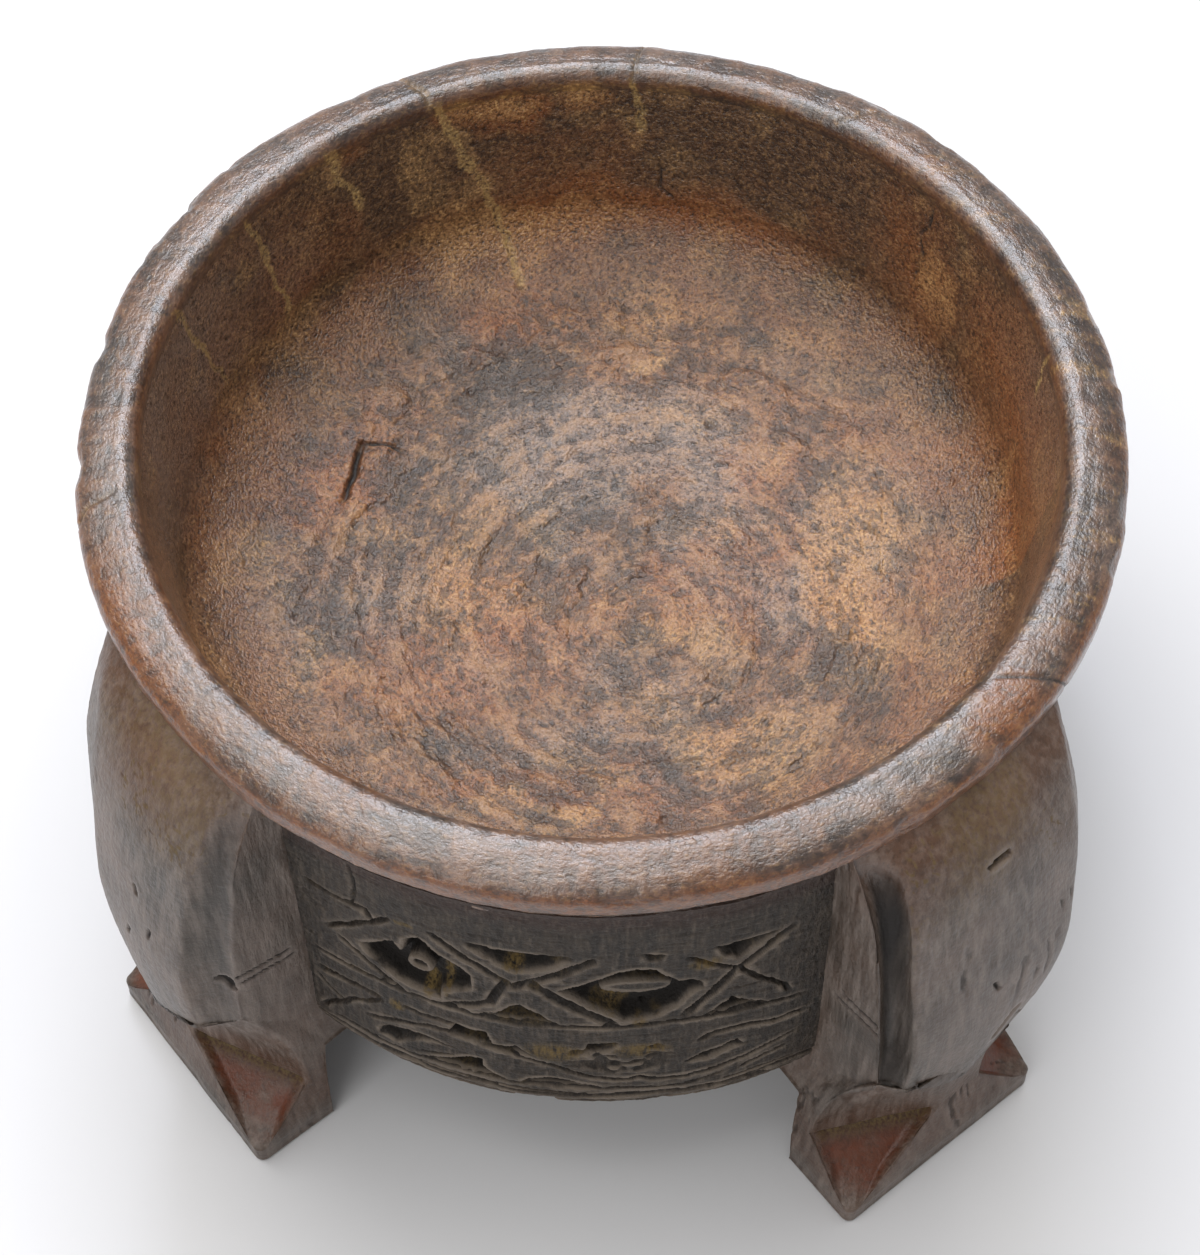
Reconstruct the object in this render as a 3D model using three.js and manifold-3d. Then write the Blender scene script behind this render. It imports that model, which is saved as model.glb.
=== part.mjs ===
// Four-legged salt bowl, hewn from one block of hardwood: a drum with an overhanging rim and a
// dished basin, carved between the four slab legs that it stands on.
// Millimetres, +Z up. The origin is on the bowl's axis, on the surface that the feet stand on.
// The carved stretches of wall face -Y, +X, +Y and -X, and the legs stand on the diagonals.

import * as THREE from "three";
import { mergeVertices } from "three/addons/utils/BufferGeometryUtils.js";
import Module from "manifold-3d";

// Bowl
const HEIGHT = 143.7; // floor to the top of the rim
const RIM_RADIUS = 100; // to the rim's outer edge
const RIM_WIDTH = 13; // from the outer edge to the lip of the basin
const RIM_FALL = 4.5; // how far the outer edge lies below the top of the rim
const RIM_EDGE = 2.6; // height of the upright outer edge
const RIM_UNDERCUT = 13; // height of the slope that leads from that edge back to the wall
const RIM_OVERHANG = 5; // how far that edge stands out from the drum's wall
const DRUM_BOTTOM = 30; // height of the drum's underside above the floor
const DRUM_TURN = 15; // height of the curve from the wall to the underside
const DRUM_TUCK = 9; // how far that curve draws in
const UNDERSIDE_HOLLOW = 2; // rise of the underside at its middle

// Basin
const BASIN_DEPTH = 55.4; // top of the rim to the middle of the basin
const BASIN_DRAFT = 3.5; // how far the basin's wall draws in on its way down
const BASIN_CORNER = 16; // size of the curve from the basin's wall to its dished floor
const DISH_RISE = 6; // rise of the dished floor from its middle to that curve

// Carving: a lattice of straps round sunk fields, with a band of waves below it, repeated on each
// stretch of wall between two legs. Its places are along the wall from the middle of that stretch
// and up from the drum's underside, drawn for a wall of this radius and height, and follow them.
const CARVED_RADIUS = 95;
const CARVED_HEIGHT = 93.6;
const FIELD_DEPTH = 3.2;
const WAVE_DEPTH = 2.5;
const CUT_DEPTH = 1.7; // of the lines between the straps
const CUT_WIDTH = 2.6;
const FIELDS = [
  {
    outline: [[-37.7, 60.5], [-36, 57.3], [-30, 52], [-24.5, 50.6], [-20.8, 52], [-14.2, 58.5],
      [-14.2, 64.5], [-24, 74.4], [-26.8, 72], [-27.8, 66.4], [-29.4, 68.8]],
    boss: { middle: [-24.4, 63.3], radii: [3.2, 3] }, // left standing in the field
  },
  {
    outline: [[2.2, 63.4], [9.3, 55.8], [14.6, 50.8], [20.6, 50.6], [25, 55], [29.7, 61.2],
      [29.6, 64], [22.3, 69.5], [17, 73.4], [10, 69.6]],
    boss: { middle: [16.8, 65.2], radii: [7.6, 2.9] },
  },
  { outline: [[-15, 78.8], [-14.5, 76.8], [-9, 72], [-5.4, 69.8], [0.5, 72.6], [5.5, 78.3]] },
  { outline: [[-14.5, 47.8], [-2, 47.5], [2.2, 48.4], [-5, 56], [-7, 54.6]] },
  { outline: [[31, 78.6], [33.5, 73], [36.2, 71], [44, 79]] },
  { outline: [[30, 48.6], [43, 47.4], [35.3, 54.9]] },
];
const WAVES = [
  { outline: [[-20.5, 34.8], [-8, 31.6], [-3.6, 32.2], [-6.5, 36], [-11.2, 34.6], [-12.3, 40], [-18.5, 40]] },
  { outline: [[6.4, 35], [9, 34.4], [14.2, 39.8], [7.6, 40.2]] },
  { outline: [[26.4, 27.8], [31.6, 27.2], [38.8, 31], [37.6, 33.6]] },
  { outline: [[-36.2, 20.8], [-32.5, 20], [-27.5, 25.5], [-19, 28.6], [-24, 29.6], [-33, 27.2]] },
  { outline: [[-26.5, 18.4], [-8, 18.2], [-12, 20.2], [-13.6, 25.9], [-16, 25.4]] },
  { outline: [[-6.4, 18], [11, 18.2], [3, 22], [0, 22.2]] },
];
const CUT_LINES = [
  [[-48, 76.7], [-34.6, 77.4]],
  [[-30, 77.8], [-36, 71], [-44.8, 60.4]],
  [[-42, 58.6], [-28.5, 47.6]],
  [[-21.6, 78.2], [-7.6, 64.4], [-11, 54.4], [-20, 47.8]],
  [[9, 77.6], [-7, 62.6]],
  [[-3.2, 65.6], [13, 48.6]],
  [[26.2, 50.4], [35.4, 65.6], [46.6, 79]],
  [[26.4, 76], [36.6, 66.2], [47, 49]],
  [[-48, 46], [-26, 47], [6, 47.8], [24, 48.8], [48, 45.8]],
  [[-48, 36.8], [-40, 39.2], [-34.4, 39]],
  [[-29.4, 39.4], [-18.6, 39.8]],
  [[29.6, 37], [35, 39.6], [48, 37.7]],
  [[-34.2, 38], [-43.6, 27.6], [-48, 21]],
  [[-38.6, 26.8], [-24, 35], [-19.6, 36.2]],
  [[-14, 33.4], [0, 28.6], [11, 22.6], [27, 21], [48, 28.4]],
  [[-48, 16.6], [0, 16], [48, 15.6]],
];

// Legs: reaches are measured outward from the drum's wall
const LEG_NAMES = ["leg_back_right", "leg_back_left", "leg_front_left", "leg_front_right"];
const FOOT_LENGTH = 52.8; // along the wall
const FOOT_DEPTH = 19.5; // out from the wall
const FOOT_REACH = 20.5;
const FOOT_CORNER = 6; // height of the foot's square corners, where the chamfer stops end
const FOOT_BEVEL = 1.2; // worn edge where the foot meets the floor
const NECK_HEIGHT = 21; // top of the chamfer stops
const NECK_REACH = 17;
const NECK_RIDGE = 12; // width of the ridge left between the two chamfers
const NECK_CHAMFER = 12.5; // how deep those chamfers cut, towards the wall
const NECK_WIDTH = 50;
const ARRIS_HEIGHT = 61; // curved edge where the belly ends and the neck is cut in
const ARRIS_REACH = 22.6;
const BELLY_HEIGHT = 76; // where the belly stands out furthest
const BELLY_REACH = 23.8;
const BELLY_FLAT = 35; // width of the outer face between its chamfers
const BELLY_CHAMFER = 8;
const BELLY_WIDTH = 48;
const SHOULDER_DROP = 7; // how far the shoulder lies below the rim's edge
const SHOULDER_REACH = 10.5;
const SHOULDER_FLAT = 40;
const SHOULDER_CHAMFER = 3.5;
const SHOULDER_WIDTH = 51;
const FACE_CROWN = 1.6; // how far the outer face is rounded proud of its two edges
const LEG_ROOT = 9; // how far a leg's block runs in behind the wall before it is fitted to it
const SEAT_GAP = 0.3; // between a leg and the bowl that it is fitted to

// Fineness of the curved surfaces
const TURN_STEPS = 64; // a multiple of 8, so that each leg meets the wall's facets alike
const CURVE_STEPS = 6;
const CUT_STEP = 12; // longest straight stretch of a cut line round the wall
const BOSS_STEPS = 5; // corners in half of a boss's outline
const CUT_OVERRUN = 0.8; // how far outside the wall each cut starts
const FACE_STEPS = 6;
const SHAFT_STEPS = 6;
const NECK_STEPS = 4;

const wasm = await Module();
wasm.setup();

// Named heights and radii that several shapes share
const EDGE_TOP = HEIGHT - RIM_FALL;
const EDGE_BOTTOM = EDGE_TOP - RIM_EDGE;
const LIP_RADIUS = RIM_RADIUS - RIM_WIDTH;
const DRUM_TOP = EDGE_BOTTOM - RIM_UNDERCUT;
const WALL_RADIUS = RIM_RADIUS - RIM_OVERHANG;

function mix(a, b, t) {
  return a + (b - a) * t;
}

// A closed mesh with its equal corners merged, and without the faces that this leaves empty.
function welded(geometry) {
  const bare = geometry.clone();
  bare.deleteAttribute("normal");
  bare.deleteAttribute("uv");
  const merged = mergeVertices(bare, 1e-4);
  const kept = [];
  const index = merged.index.array;
  for (let i = 0; i < index.length; i += 3) {
    const [a, b, c] = [index[i], index[i + 1], index[i + 2]];
    if (a !== b && b !== c && c !== a) kept.push(a, b, c);
  }
  merged.setIndex(kept);
  return merged;
}

function toSolid(geometry) {
  const mesh = welded(geometry);
  return new wasm.Manifold(
    new wasm.Mesh({
      numProp: 3,
      vertProperties: new Float32Array(mesh.attributes.position.array),
      triVerts: new Uint32Array(mesh.index.array),
    }),
  );
}

function toGeometry(solid) {
  const mesh = solid.getMesh();
  const geometry = new THREE.BufferGeometry();
  geometry.setAttribute("position", new THREE.BufferAttribute(mesh.vertProperties, 3));
  geometry.setIndex(new THREE.BufferAttribute(mesh.triVerts, 1));
  geometry.computeVertexNormals();
  return geometry;
}

// A profile of (radius, height) points, turned about the Z axis.
function turned(path) {
  const lathe = new THREE.LatheGeometry(path.getPoints(CURVE_STEPS).reverse(), TURN_STEPS);
  return lathe.rotateX(Math.PI / 2);
}

// The outside of the bowl from the rim's edge down to the axis, drawn larger by grow on every side.
function addOutside(path, grow) {
  const wall = WALL_RADIUS + grow;
  const bottom = DRUM_BOTTOM - grow;
  path.lineTo(RIM_RADIUS + grow, EDGE_BOTTOM);
  path.quadraticCurveTo(wall, mix(EDGE_BOTTOM, DRUM_TOP, 0.75), wall, DRUM_TOP);
  path.lineTo(wall, bottom + DRUM_TURN);
  path.quadraticCurveTo(wall, bottom + DRUM_TURN * 0.35, wall - DRUM_TUCK, bottom);
  path.lineTo(0, bottom + UNDERSIDE_HOLLOW);
}

// Basin floor, basin wall and the rounded rim, then the outside.
function bowlProfile() {
  const floor = HEIGHT - BASIN_DEPTH;
  const foot = LIP_RADIUS - BASIN_DRAFT;
  const dishEdge = foot - BASIN_CORNER;
  const crown = LIP_RADIUS + RIM_WIDTH * 0.3;
  const path = new THREE.Path();
  path.moveTo(0, floor);
  path.quadraticCurveTo(dishEdge * 0.55, floor, dishEdge, floor + DISH_RISE);
  path.quadraticCurveTo(foot, floor + DISH_RISE * 1.9, foot, floor + DISH_RISE + BASIN_CORNER);
  path.lineTo(LIP_RADIUS, HEIGHT - RIM_FALL);
  path.quadraticCurveTo(LIP_RADIUS, HEIGHT, crown, HEIGHT);
  path.quadraticCurveTo(RIM_RADIUS, HEIGHT - RIM_FALL * 0.15, RIM_RADIUS, EDGE_TOP);
  addOutside(path, 0);
  return path;
}

// What a leg keeps clear of: the bowl's outside, filled in up to the top and beyond.
function seatProfile() {
  const path = new THREE.Path();
  path.moveTo(0, HEIGHT + SEAT_GAP);
  path.lineTo(RIM_RADIUS + SEAT_GAP, HEIGHT + SEAT_GAP);
  addOutside(path, SEAT_GAP);
  return path;
}

// Where a place of the carving lies on the stretch of wall that faces +X, moved outward by out.
function onWall(along, up, out) {
  const radius = WALL_RADIUS + out;
  const angle = along / CARVED_RADIUS;
  const height = (up * (DRUM_TOP - DRUM_BOTTOM)) / CARVED_HEIGHT;
  return new THREE.Vector3(radius * Math.cos(angle), radius * Math.sin(angle), DRUM_BOTTOM + height);
}

// A field's outline, less the boss inside it, pushed into the wall and bent round it.
function fieldCut({ outline, boss }, depth, side) {
  const shape = new THREE.Shape(outline.map(([along, up]) => new THREE.Vector2(side * along, up)));
  if (boss) {
    const [along, up] = boss.middle;
    shape.holes.push(new THREE.Path().absellipse(side * along, up, ...boss.radii, 0, 2 * Math.PI));
  }
  const cut = new THREE.ExtrudeGeometry(shape, {
    depth: depth + CUT_OVERRUN,
    bevelEnabled: false,
    curveSegments: BOSS_STEPS,
  });
  const places = cut.attributes.position;
  for (let i = 0; i < places.count; i++) {
    const place = onWall(places.getX(i), places.getY(i), places.getZ(i) - depth);
    places.setXYZ(i, place.x, place.y, place.z);
  }
  return cut;
}

// A groove of V section along a line on the wall.
function lineCut(line, side) {
  const corners = line.map(([along, up]) => new THREE.Vector2(side * along, up));
  const route = [corners[0]];
  for (let i = 1; i < corners.length; i++) {
    const [from, to] = [corners[i - 1], corners[i]];
    const steps = Math.max(1, Math.ceil(Math.abs(to.x - from.x) / CUT_STEP));
    for (let k = 1; k <= steps; k++) route.push(from.clone().lerp(to, k / steps));
  }
  const half = (CUT_WIDTH / 2) * (1 + CUT_OVERRUN / CUT_DEPTH);
  const sections = route.map(({ x, y }, i) => {
    const before = route[Math.max(i - 1, 0)];
    const after = route[Math.min(i + 1, route.length - 1)];
    const heading = after.clone().sub(before).setLength(half);
    return [
      onWall(x, y, -CUT_DEPTH),
      onWall(x - heading.y, y + heading.x, CUT_OVERRUN),
      onWall(x + heading.y, y - heading.x, CUT_OVERRUN),
    ];
  });
  return loft(sections);
}

// The cuts of one stretch of wall, drawn on the one that faces +X. side is -1 for a mirror image.
function panelCuts(side) {
  return [
    ...FIELDS.map((field) => fieldCut(field, FIELD_DEPTH, side)),
    ...WAVES.map((wave) => fieldCut(wave, WAVE_DEPTH, side)),
    ...CUT_LINES.map((line) => lineCut(line, side)),
  ];
}

// One level of a leg, with its outward direction along X and the wall's direction along Y.
// flat is the width of the outer face, chamfer how far its corners are cut back towards the wall.
function legLevel({ z, reach, flat, chamfer, width, crown, root }) {
  const outer = WALL_RADIUS + reach;
  const points = [new THREE.Vector3(WALL_RADIUS + root, -width / 2, z)];
  points.push(new THREE.Vector3(outer - chamfer, -width / 2, z));
  for (let i = 0; i <= FACE_STEPS; i++) {
    const across = (2 * i) / FACE_STEPS - 1;
    const bulge = crown * (1 - across * across);
    points.push(new THREE.Vector3(outer - crown + bulge, (across * flat) / 2, z));
  }
  points.push(new THREE.Vector3(outer - chamfer, width / 2, z));
  points.push(new THREE.Vector3(WALL_RADIUS + root, width / 2, z));
  return points;
}

// Levels from one to another. Their reach and chamfer follow the given curve, the rest a line.
function levelsBetween(from, to, steps, curve) {
  const levels = [];
  for (let i = 1; i <= steps; i++) {
    const t = i / steps;
    const level = {};
    for (const key of Object.keys(from)) level[key] = mix(from[key], to[key], t);
    level.reach = mix(from.reach, to.reach, curve(t));
    level.flat = mix(from.flat, to.flat, curve(t));
    level.chamfer = mix(from.chamfer, to.chamfer, curve(t));
    levels.push(level);
  }
  return levels;
}

// The named levels of a leg, from the floor up to the rim, with curved stretches between them.
function legLevels() {
  const square = { flat: FOOT_LENGTH, chamfer: 0, width: FOOT_LENGTH, crown: 0 };
  const footRoot = FOOT_REACH - FOOT_DEPTH;
  const sole = {
    z: 0,
    reach: FOOT_REACH - FOOT_BEVEL,
    flat: FOOT_LENGTH - 2 * FOOT_BEVEL,
    chamfer: 0,
    width: FOOT_LENGTH - 2 * FOOT_BEVEL,
    crown: 0,
    root: footRoot + FOOT_BEVEL,
  };
  const soleEdge = { ...square, z: FOOT_BEVEL, reach: FOOT_REACH, root: footRoot };
  const corner = { ...soleEdge, z: FOOT_CORNER };
  const neck = {
    z: NECK_HEIGHT,
    reach: NECK_REACH,
    flat: NECK_RIDGE,
    chamfer: NECK_CHAMFER,
    width: NECK_WIDTH,
    crown: 0,
    root: footRoot,
  };
  const arris = {
    z: ARRIS_HEIGHT,
    reach: ARRIS_REACH,
    flat: BELLY_FLAT,
    chamfer: BELLY_CHAMFER,
    width: BELLY_WIDTH,
    crown: FACE_CROWN,
    root: -LEG_ROOT,
  };
  const belly = { ...arris, z: BELLY_HEIGHT, reach: BELLY_REACH };
  const shoulder = {
    z: EDGE_BOTTOM - SHOULDER_DROP,
    reach: SHOULDER_REACH,
    flat: SHOULDER_FLAT,
    chamfer: SHOULDER_CHAMFER,
    width: SHOULDER_WIDTH,
    crown: FACE_CROWN,
    root: -LEG_ROOT,
  };
  const top = {
    ...shoulder,
    z: EDGE_TOP - SEAT_GAP,
    reach: RIM_OVERHANG + 2 * SEAT_GAP + FACE_CROWN,
    chamfer: FACE_CROWN,
  };
  return [
    sole,
    soleEdge,
    corner,
    neck,
    ...levelsBetween(neck, arris, NECK_STEPS, (t) => t ** 2),
    belly,
    ...levelsBetween(belly, shoulder, SHAFT_STEPS, (t) => 1 - Math.cos((t * Math.PI) / 2)),
    top,
  ];
}

// Skin over a stack of convex levels with equal numbers of points, closed at both ends.
function loft(rings) {
  const count = rings[0].length;
  const positions = rings.flat().flatMap((point) => point.toArray());
  const index = [];
  for (let level = 0; level < rings.length - 1; level++) {
    for (let i = 0; i < count; i++) {
      const a = level * count + i;
      const b = level * count + ((i + 1) % count);
      index.push(a, b, b + count, a, b + count, a + count);
    }
  }
  const last = (rings.length - 1) * count;
  for (let i = 1; i < count - 1; i++) {
    index.push(0, i + 1, i);
    index.push(last, last + i, last + i + 1);
  }
  const geometry = new THREE.BufferGeometry();
  geometry.setAttribute("position", new THREE.Float32BufferAttribute(positions, 3));
  geometry.setIndex(index);
  return geometry;
}

// A leg's block, fitted to the bowl's wall, underside and rim.
function legGeometry() {
  const block = toSolid(loft(legLevels().map(legLevel)));
  const seat = toSolid(turned(seatProfile()));
  return toGeometry(block.subtract(seat));
}

// The turned block, carved between the legs. Neighbouring stretches are each other's mirror image.
function bowlGeometry() {
  let bowl = toSolid(turned(bowlProfile()));
  for (const i of LEG_NAMES.keys()) {
    const turn = (i * 2 * Math.PI) / LEG_NAMES.length;
    const side = i % 2 === 0 ? -1 : 1;
    for (const cut of panelCuts(side)) bowl = bowl.subtract(toSolid(cut.rotateZ(turn)));
  }
  return toGeometry(bowl);
}

const handledWood = new THREE.MeshStandardMaterial({
  name: "handled_wood",
  color: 0x6b4630,
  roughness: 0.5,
  metalness: 0,
});
const dryWood = new THREE.MeshStandardMaterial({
  name: "dry_wood",
  color: 0x5a4a42,
  roughness: 0.65,
  metalness: 0,
});

function named(name, geometry, material) {
  const mesh = new THREE.Mesh(geometry, material);
  mesh.name = name;
  return mesh;
}

const saltBowl = new THREE.Group();
saltBowl.add(named("bowl", bowlGeometry(), handledWood));

const leg = legGeometry();
for (const [i, name] of LEG_NAMES.entries()) {
  const mesh = named(name, leg, dryWood);
  mesh.rotation.z = ((i + 0.5) * 2 * Math.PI) / LEG_NAMES.length;
  saltBowl.add(mesh);
}

export default saltBowl;
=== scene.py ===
import math
from types import SimpleNamespace

import bpy
import numpy as np
from bpy.props import FloatProperty, FloatVectorProperty, PointerProperty
from mathutils import Matrix, Vector


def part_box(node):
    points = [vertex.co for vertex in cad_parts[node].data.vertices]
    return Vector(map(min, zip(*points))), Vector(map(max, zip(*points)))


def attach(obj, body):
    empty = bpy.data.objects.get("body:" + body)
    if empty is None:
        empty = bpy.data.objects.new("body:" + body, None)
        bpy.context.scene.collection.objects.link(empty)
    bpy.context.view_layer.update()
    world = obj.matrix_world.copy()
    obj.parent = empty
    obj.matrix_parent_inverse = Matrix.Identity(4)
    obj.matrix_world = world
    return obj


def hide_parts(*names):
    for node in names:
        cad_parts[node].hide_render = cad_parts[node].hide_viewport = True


bl_info = {
    "name": "Salt bowl",
    "version": (1, 0, 0),
    "blender": (4, 5, 0),
    "location": "3D View > Sidebar > Salt bowl",
    "description": "A four-legged bowl hewn from one block of hardwood, with its carving and finish",
    "category": "Object",
}

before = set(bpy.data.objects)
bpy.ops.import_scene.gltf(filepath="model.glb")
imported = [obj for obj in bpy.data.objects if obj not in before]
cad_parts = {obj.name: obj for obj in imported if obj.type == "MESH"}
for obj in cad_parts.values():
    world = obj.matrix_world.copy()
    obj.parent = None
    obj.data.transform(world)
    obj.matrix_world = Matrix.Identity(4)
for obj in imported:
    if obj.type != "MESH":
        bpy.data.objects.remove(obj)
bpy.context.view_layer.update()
BOWL_LOW, BOWL_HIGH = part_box("bowl")
MM = 0.001  # metres in a millimetre

# Each leg's CAD node, its angle round the bowl, and whether it is drawn in mirror image, because the
# side of a leg that faces the front is always drawn first
LEGS = {
    "front_left_leg": ("leg_front_left", 225, True),
    "front_right_leg": ("leg_front_right", 315, False),
    "back_left_leg": ("leg_back_left", 135, False),
    "back_right_leg": ("leg_back_right", 45, True),
}


def linear(text):
    """An sRGB hex colour as linear red, green and blue."""
    parts = np.array([int(text[i : i + 2], 16) for i in (1, 3, 5)]) / 255
    return tuple(np.where(parts <= 0.04045, parts / 12.92, ((parts + 0.055) / 1.055) ** 2.4))


def length(name, description, default_mm):
    """A length setting whose default is given in millimetres."""
    return FloatProperty(
        name=name, description=description, default=default_mm * MM, min=0, unit="LENGTH", precision=5
    )


def colour(name, description, default_hex):
    """A colour setting whose default is an sRGB hex value."""
    return FloatVectorProperty(
        name=name, description=description, default=linear(default_hex), min=0, max=1, subtype="COLOR"
    )


class SaltBowlSizes(bpy.types.PropertyGroup):
    height: length("Height", "Floor to the top of the rim", BOWL_HIGH.z / MM)
    rim_radius: length("Rim radius", "Axis to the rim's outer edge", BOWL_HIGH.x / MM)
    drum_bottom: length("Drum height", "Floor to the drum's underside", BOWL_LOW.z / MM)
    rim_width: length("Rim width", "Outer edge to the lip of the basin", 13)
    rim_fall: length("Rim fall", "How far the outer edge lies below the rim's top", 4.5)
    rim_edge: length("Rim edge", "Height of the upright outer edge", 2.6)
    rim_undercut: length("Rim undercut", "Height of the slope back to the wall", 13)
    rim_overhang: length("Rim overhang", "How far the rim stands out from the wall", 5)
    drum_turn: length("Drum turn", "Height of the curve to the underside", 15)
    drum_tuck: length("Drum tuck", "How far that curve draws in", 9)
    underside_hollow: length("Underside hollow", "Rise of the underside at its middle", 2)
    basin_depth: length("Basin depth", "Top of the rim to the middle of the basin", 55.4)
    basin_draft: length("Basin draft", "How far the basin's wall draws in", 3.5)
    basin_corner: length("Basin corner", "Curve from the basin's wall to its floor", 16)
    dish_rise: length("Dish rise", "Rise of the dished floor", 6)
    shell: length("Shell", "Thickness that closes each skin behind", 3)
    recess_depth: length("Recess depth", "Depth of the carved lozenges and triangles", 3.4)
    groove_depth: length("Groove depth", "Depth of the cut lines", 1.7)
    foot_length: length("Foot length", "Foot along the wall", 52.8)
    foot_depth: length("Foot depth", "Foot out from the wall", 19.5)
    foot_reach: length("Foot reach", "Outer face of the foot beyond the wall", 20.4)
    foot_corner: length("Foot corner", "Height of the square corners", 6)
    foot_bevel: length("Foot bevel", "Worn edge on the floor", 1.2)
    neck_height: length("Neck height", "Top of the chamfer stops", 19.5)
    arris_height: length("Arris height", "Edge between the belly and the neck", 61)
    stop_depth: length("Stop depth", "How deep the chamfer stops are sunk", 3.4)
    leg_top: length("Leg top", "Where the legs meet the rim", 138.2)


class SaltBowlColours(bpy.types.PropertyGroup):
    floor_dark: colour("Basin dark", "Dark worn wood in the basin", "#3a281f")
    floor_mid: colour("Basin", "Worn wood in the basin", "#714a31")
    floor_light: colour("Basin light", "Dry fibres in the basin", "#a67f5a")
    rim_dark: colour("Rim dark", "Nearly black stains on the rim", "#241a17")
    rim_mid: colour("Rim", "Handled wood of the rim", "#543522")
    rim_light: colour("Rim light", "Rubbed grain on the rim", "#76543c")
    amber: colour("Amber", "Oil-stained edge under the rim", "#6b390c")
    # Carving dark is also painted shade: the carving darkens towards it by the depth of its cuts
    carved_dark: colour("Carving dark", "Bottoms of the cuts", "#100b07")
    carved_mid: colour("Carving", "Dry grey-brown wood", "#2a221b")
    carved_light: colour("Carving light", "Rubbed edges of the carving", "#72665a")
    dust: colour("Dust", "Straw-coloured dust in the cuts", "#5e4c28")
    leg_dark: colour("Leg dark", "Dark streaks on the legs", "#33291f")
    leg_mid: colour("Leg", "Dry mauve-brown wood of the legs", "#5c4a3f")
    leg_light: colour("Leg light", "Rubbed faces of the legs", "#877b73")
    leg_rust: colour("Leg rust", "Red-brown wood in the chamfer stops", "#5a2502")
    straw: colour("Straw", "Plant fibre caught in the corners", "#a08850")
    floor_white: colour("Floor", "Pale floor under the bowl", "#dededf")


class SaltBowlStage(bpy.types.PropertyGroup):
    camera_azimuth: FloatProperty(
        name="Camera azimuth",
        description="Camera's turn from the front",
        default=math.radians(6.828),
        subtype="ANGLE",
    )
    camera_elevation: FloatProperty(
        name="Camera elevation",
        description="Camera's height above the horizon",
        default=math.radians(58.197),
        subtype="ANGLE",
    )
    camera_roll: FloatProperty(
        name="Camera roll",
        description="Camera's turn about its own line of sight",
        default=-0.010282,
        subtype="ANGLE",
    )
    camera_distance: length("Camera distance", "Camera to the point it looks at", 601.647)
    lens: FloatProperty(
        name="Lens", description="Focal length on a 36 mm long side", default=80.32, subtype="DISTANCE_CAMERA"
    )
    overhead_watts: FloatProperty(
        name="Overhead lamp", description="Power of the large lamp overhead", default=36, min=0, unit="POWER"
    )
    front_watts: FloatProperty(
        name="Front lamp", description="Power of the soft lamp in front", default=12, min=0, unit="POWER"
    )
    sheen_watts: FloatProperty(
        name="Sheen lamp", description="Power of the small lamp that glints", default=11, min=0, unit="POWER"
    )
    surroundings: FloatProperty(
        name="Surroundings", description="Strength of the light from all round", default=0.5, min=0
    )


def sizes_mm(context):
    """The size settings in millimetres, by name."""
    group = context.scene.salt_bowl_sizes
    return SimpleNamespace(**{name: getattr(group, name) / MM for name in group.__annotations__})


# Smooth steps, curves and noise

LATTICE_CELLS = 64
LATTICE = np.random.default_rng(41).random((LATTICE_CELLS,) * 3, dtype=np.float32) * 2 - 1


def step(low, high, value):
    """0 below low, 1 above high, and the cubic 3t² - 2t³ between them."""
    t = np.clip((value - low) / (high - low), 0, 1)
    return t * t * (3 - 2 * t)


def mix(a, b, t):
    """a where t is 0, b where t is 1."""
    return a + (b - a) * t


def noise(places, size, layer=0):
    """Smooth noise from -1 to 1: random values on a lattice of the given cell size, mixed by the
    cubic step of the place in its cell. size is one length, or one for each direction, and each
    layer is a pattern of its own."""
    scaled = np.asarray(places, np.float32) / np.asarray(size, np.float32) + 17.3 * layer + 0.37
    corner = np.floor(scaled).astype(np.int32)
    part = scaled - corner
    part = part * part * (3 - 2 * part)
    near, far = corner % LATTICE_CELLS, (corner + 1) % LATTICE_CELLS
    total = 0
    for x, wx in ((near[..., 0], 1 - part[..., 0]), (far[..., 0], part[..., 0])):
        for y, wy in ((near[..., 1], 1 - part[..., 1]), (far[..., 1], part[..., 1])):
            low = LATTICE[x, y, near[..., 2]] * (1 - part[..., 2])
            total = total + wx * wy * (low + LATTICE[x, y, far[..., 2]] * part[..., 2])
    return total


def fractal(places, size, octaves=3, layer=0):
    """Noise of several sizes added up: each finer one has half the size and half the weight."""
    size = np.asarray(size, float)
    return sum(noise(places, size / 2**i, layer + i) / 2**i for i in range(octaves))


def smooth_curve(knots, values, at):
    """A curve through the knots: on each stretch the cubic with the mean slopes at its ends."""
    knots, values = np.asarray(knots, float), np.asarray(values, float)
    slopes = np.gradient(values, knots)
    i = np.clip(np.searchsorted(knots, at, side="right") - 1, 0, len(knots) - 2)
    width = knots[i + 1] - knots[i]
    t = np.clip((at - knots[i]) / width, 0, 1)
    start, end = values[i], values[i + 1]
    rise = start * (1 + 2 * t) * (1 - t) ** 2 + end * t * t * (3 - 2 * t)
    return rise + width * t * (1 - t) * (slopes[i] * (1 - t) - slopes[i + 1] * t)


def distance_to_line(x, y, line):
    """Distance from each place to a line of corners, and how far along it, from 0 to 1, it is."""
    best, along = np.full(x.shape, 1e9), np.zeros(x.shape)
    count = len(line) - 1
    for i, ((ax, ay), (bx, by)) in enumerate(zip(line, line[1:])):
        dx, dy = bx - ax, by - ay
        t = np.clip(((x - ax) * dx + (y - ay) * dy) / (dx * dx + dy * dy), 0, 1)
        apart = np.hypot(x - ax - t * dx, y - ay - t * dy)
        nearer = apart < best
        best, along = np.where(nearer, apart, best), np.where(nearer, (i + t) / count, along)
    return best, along


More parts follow.
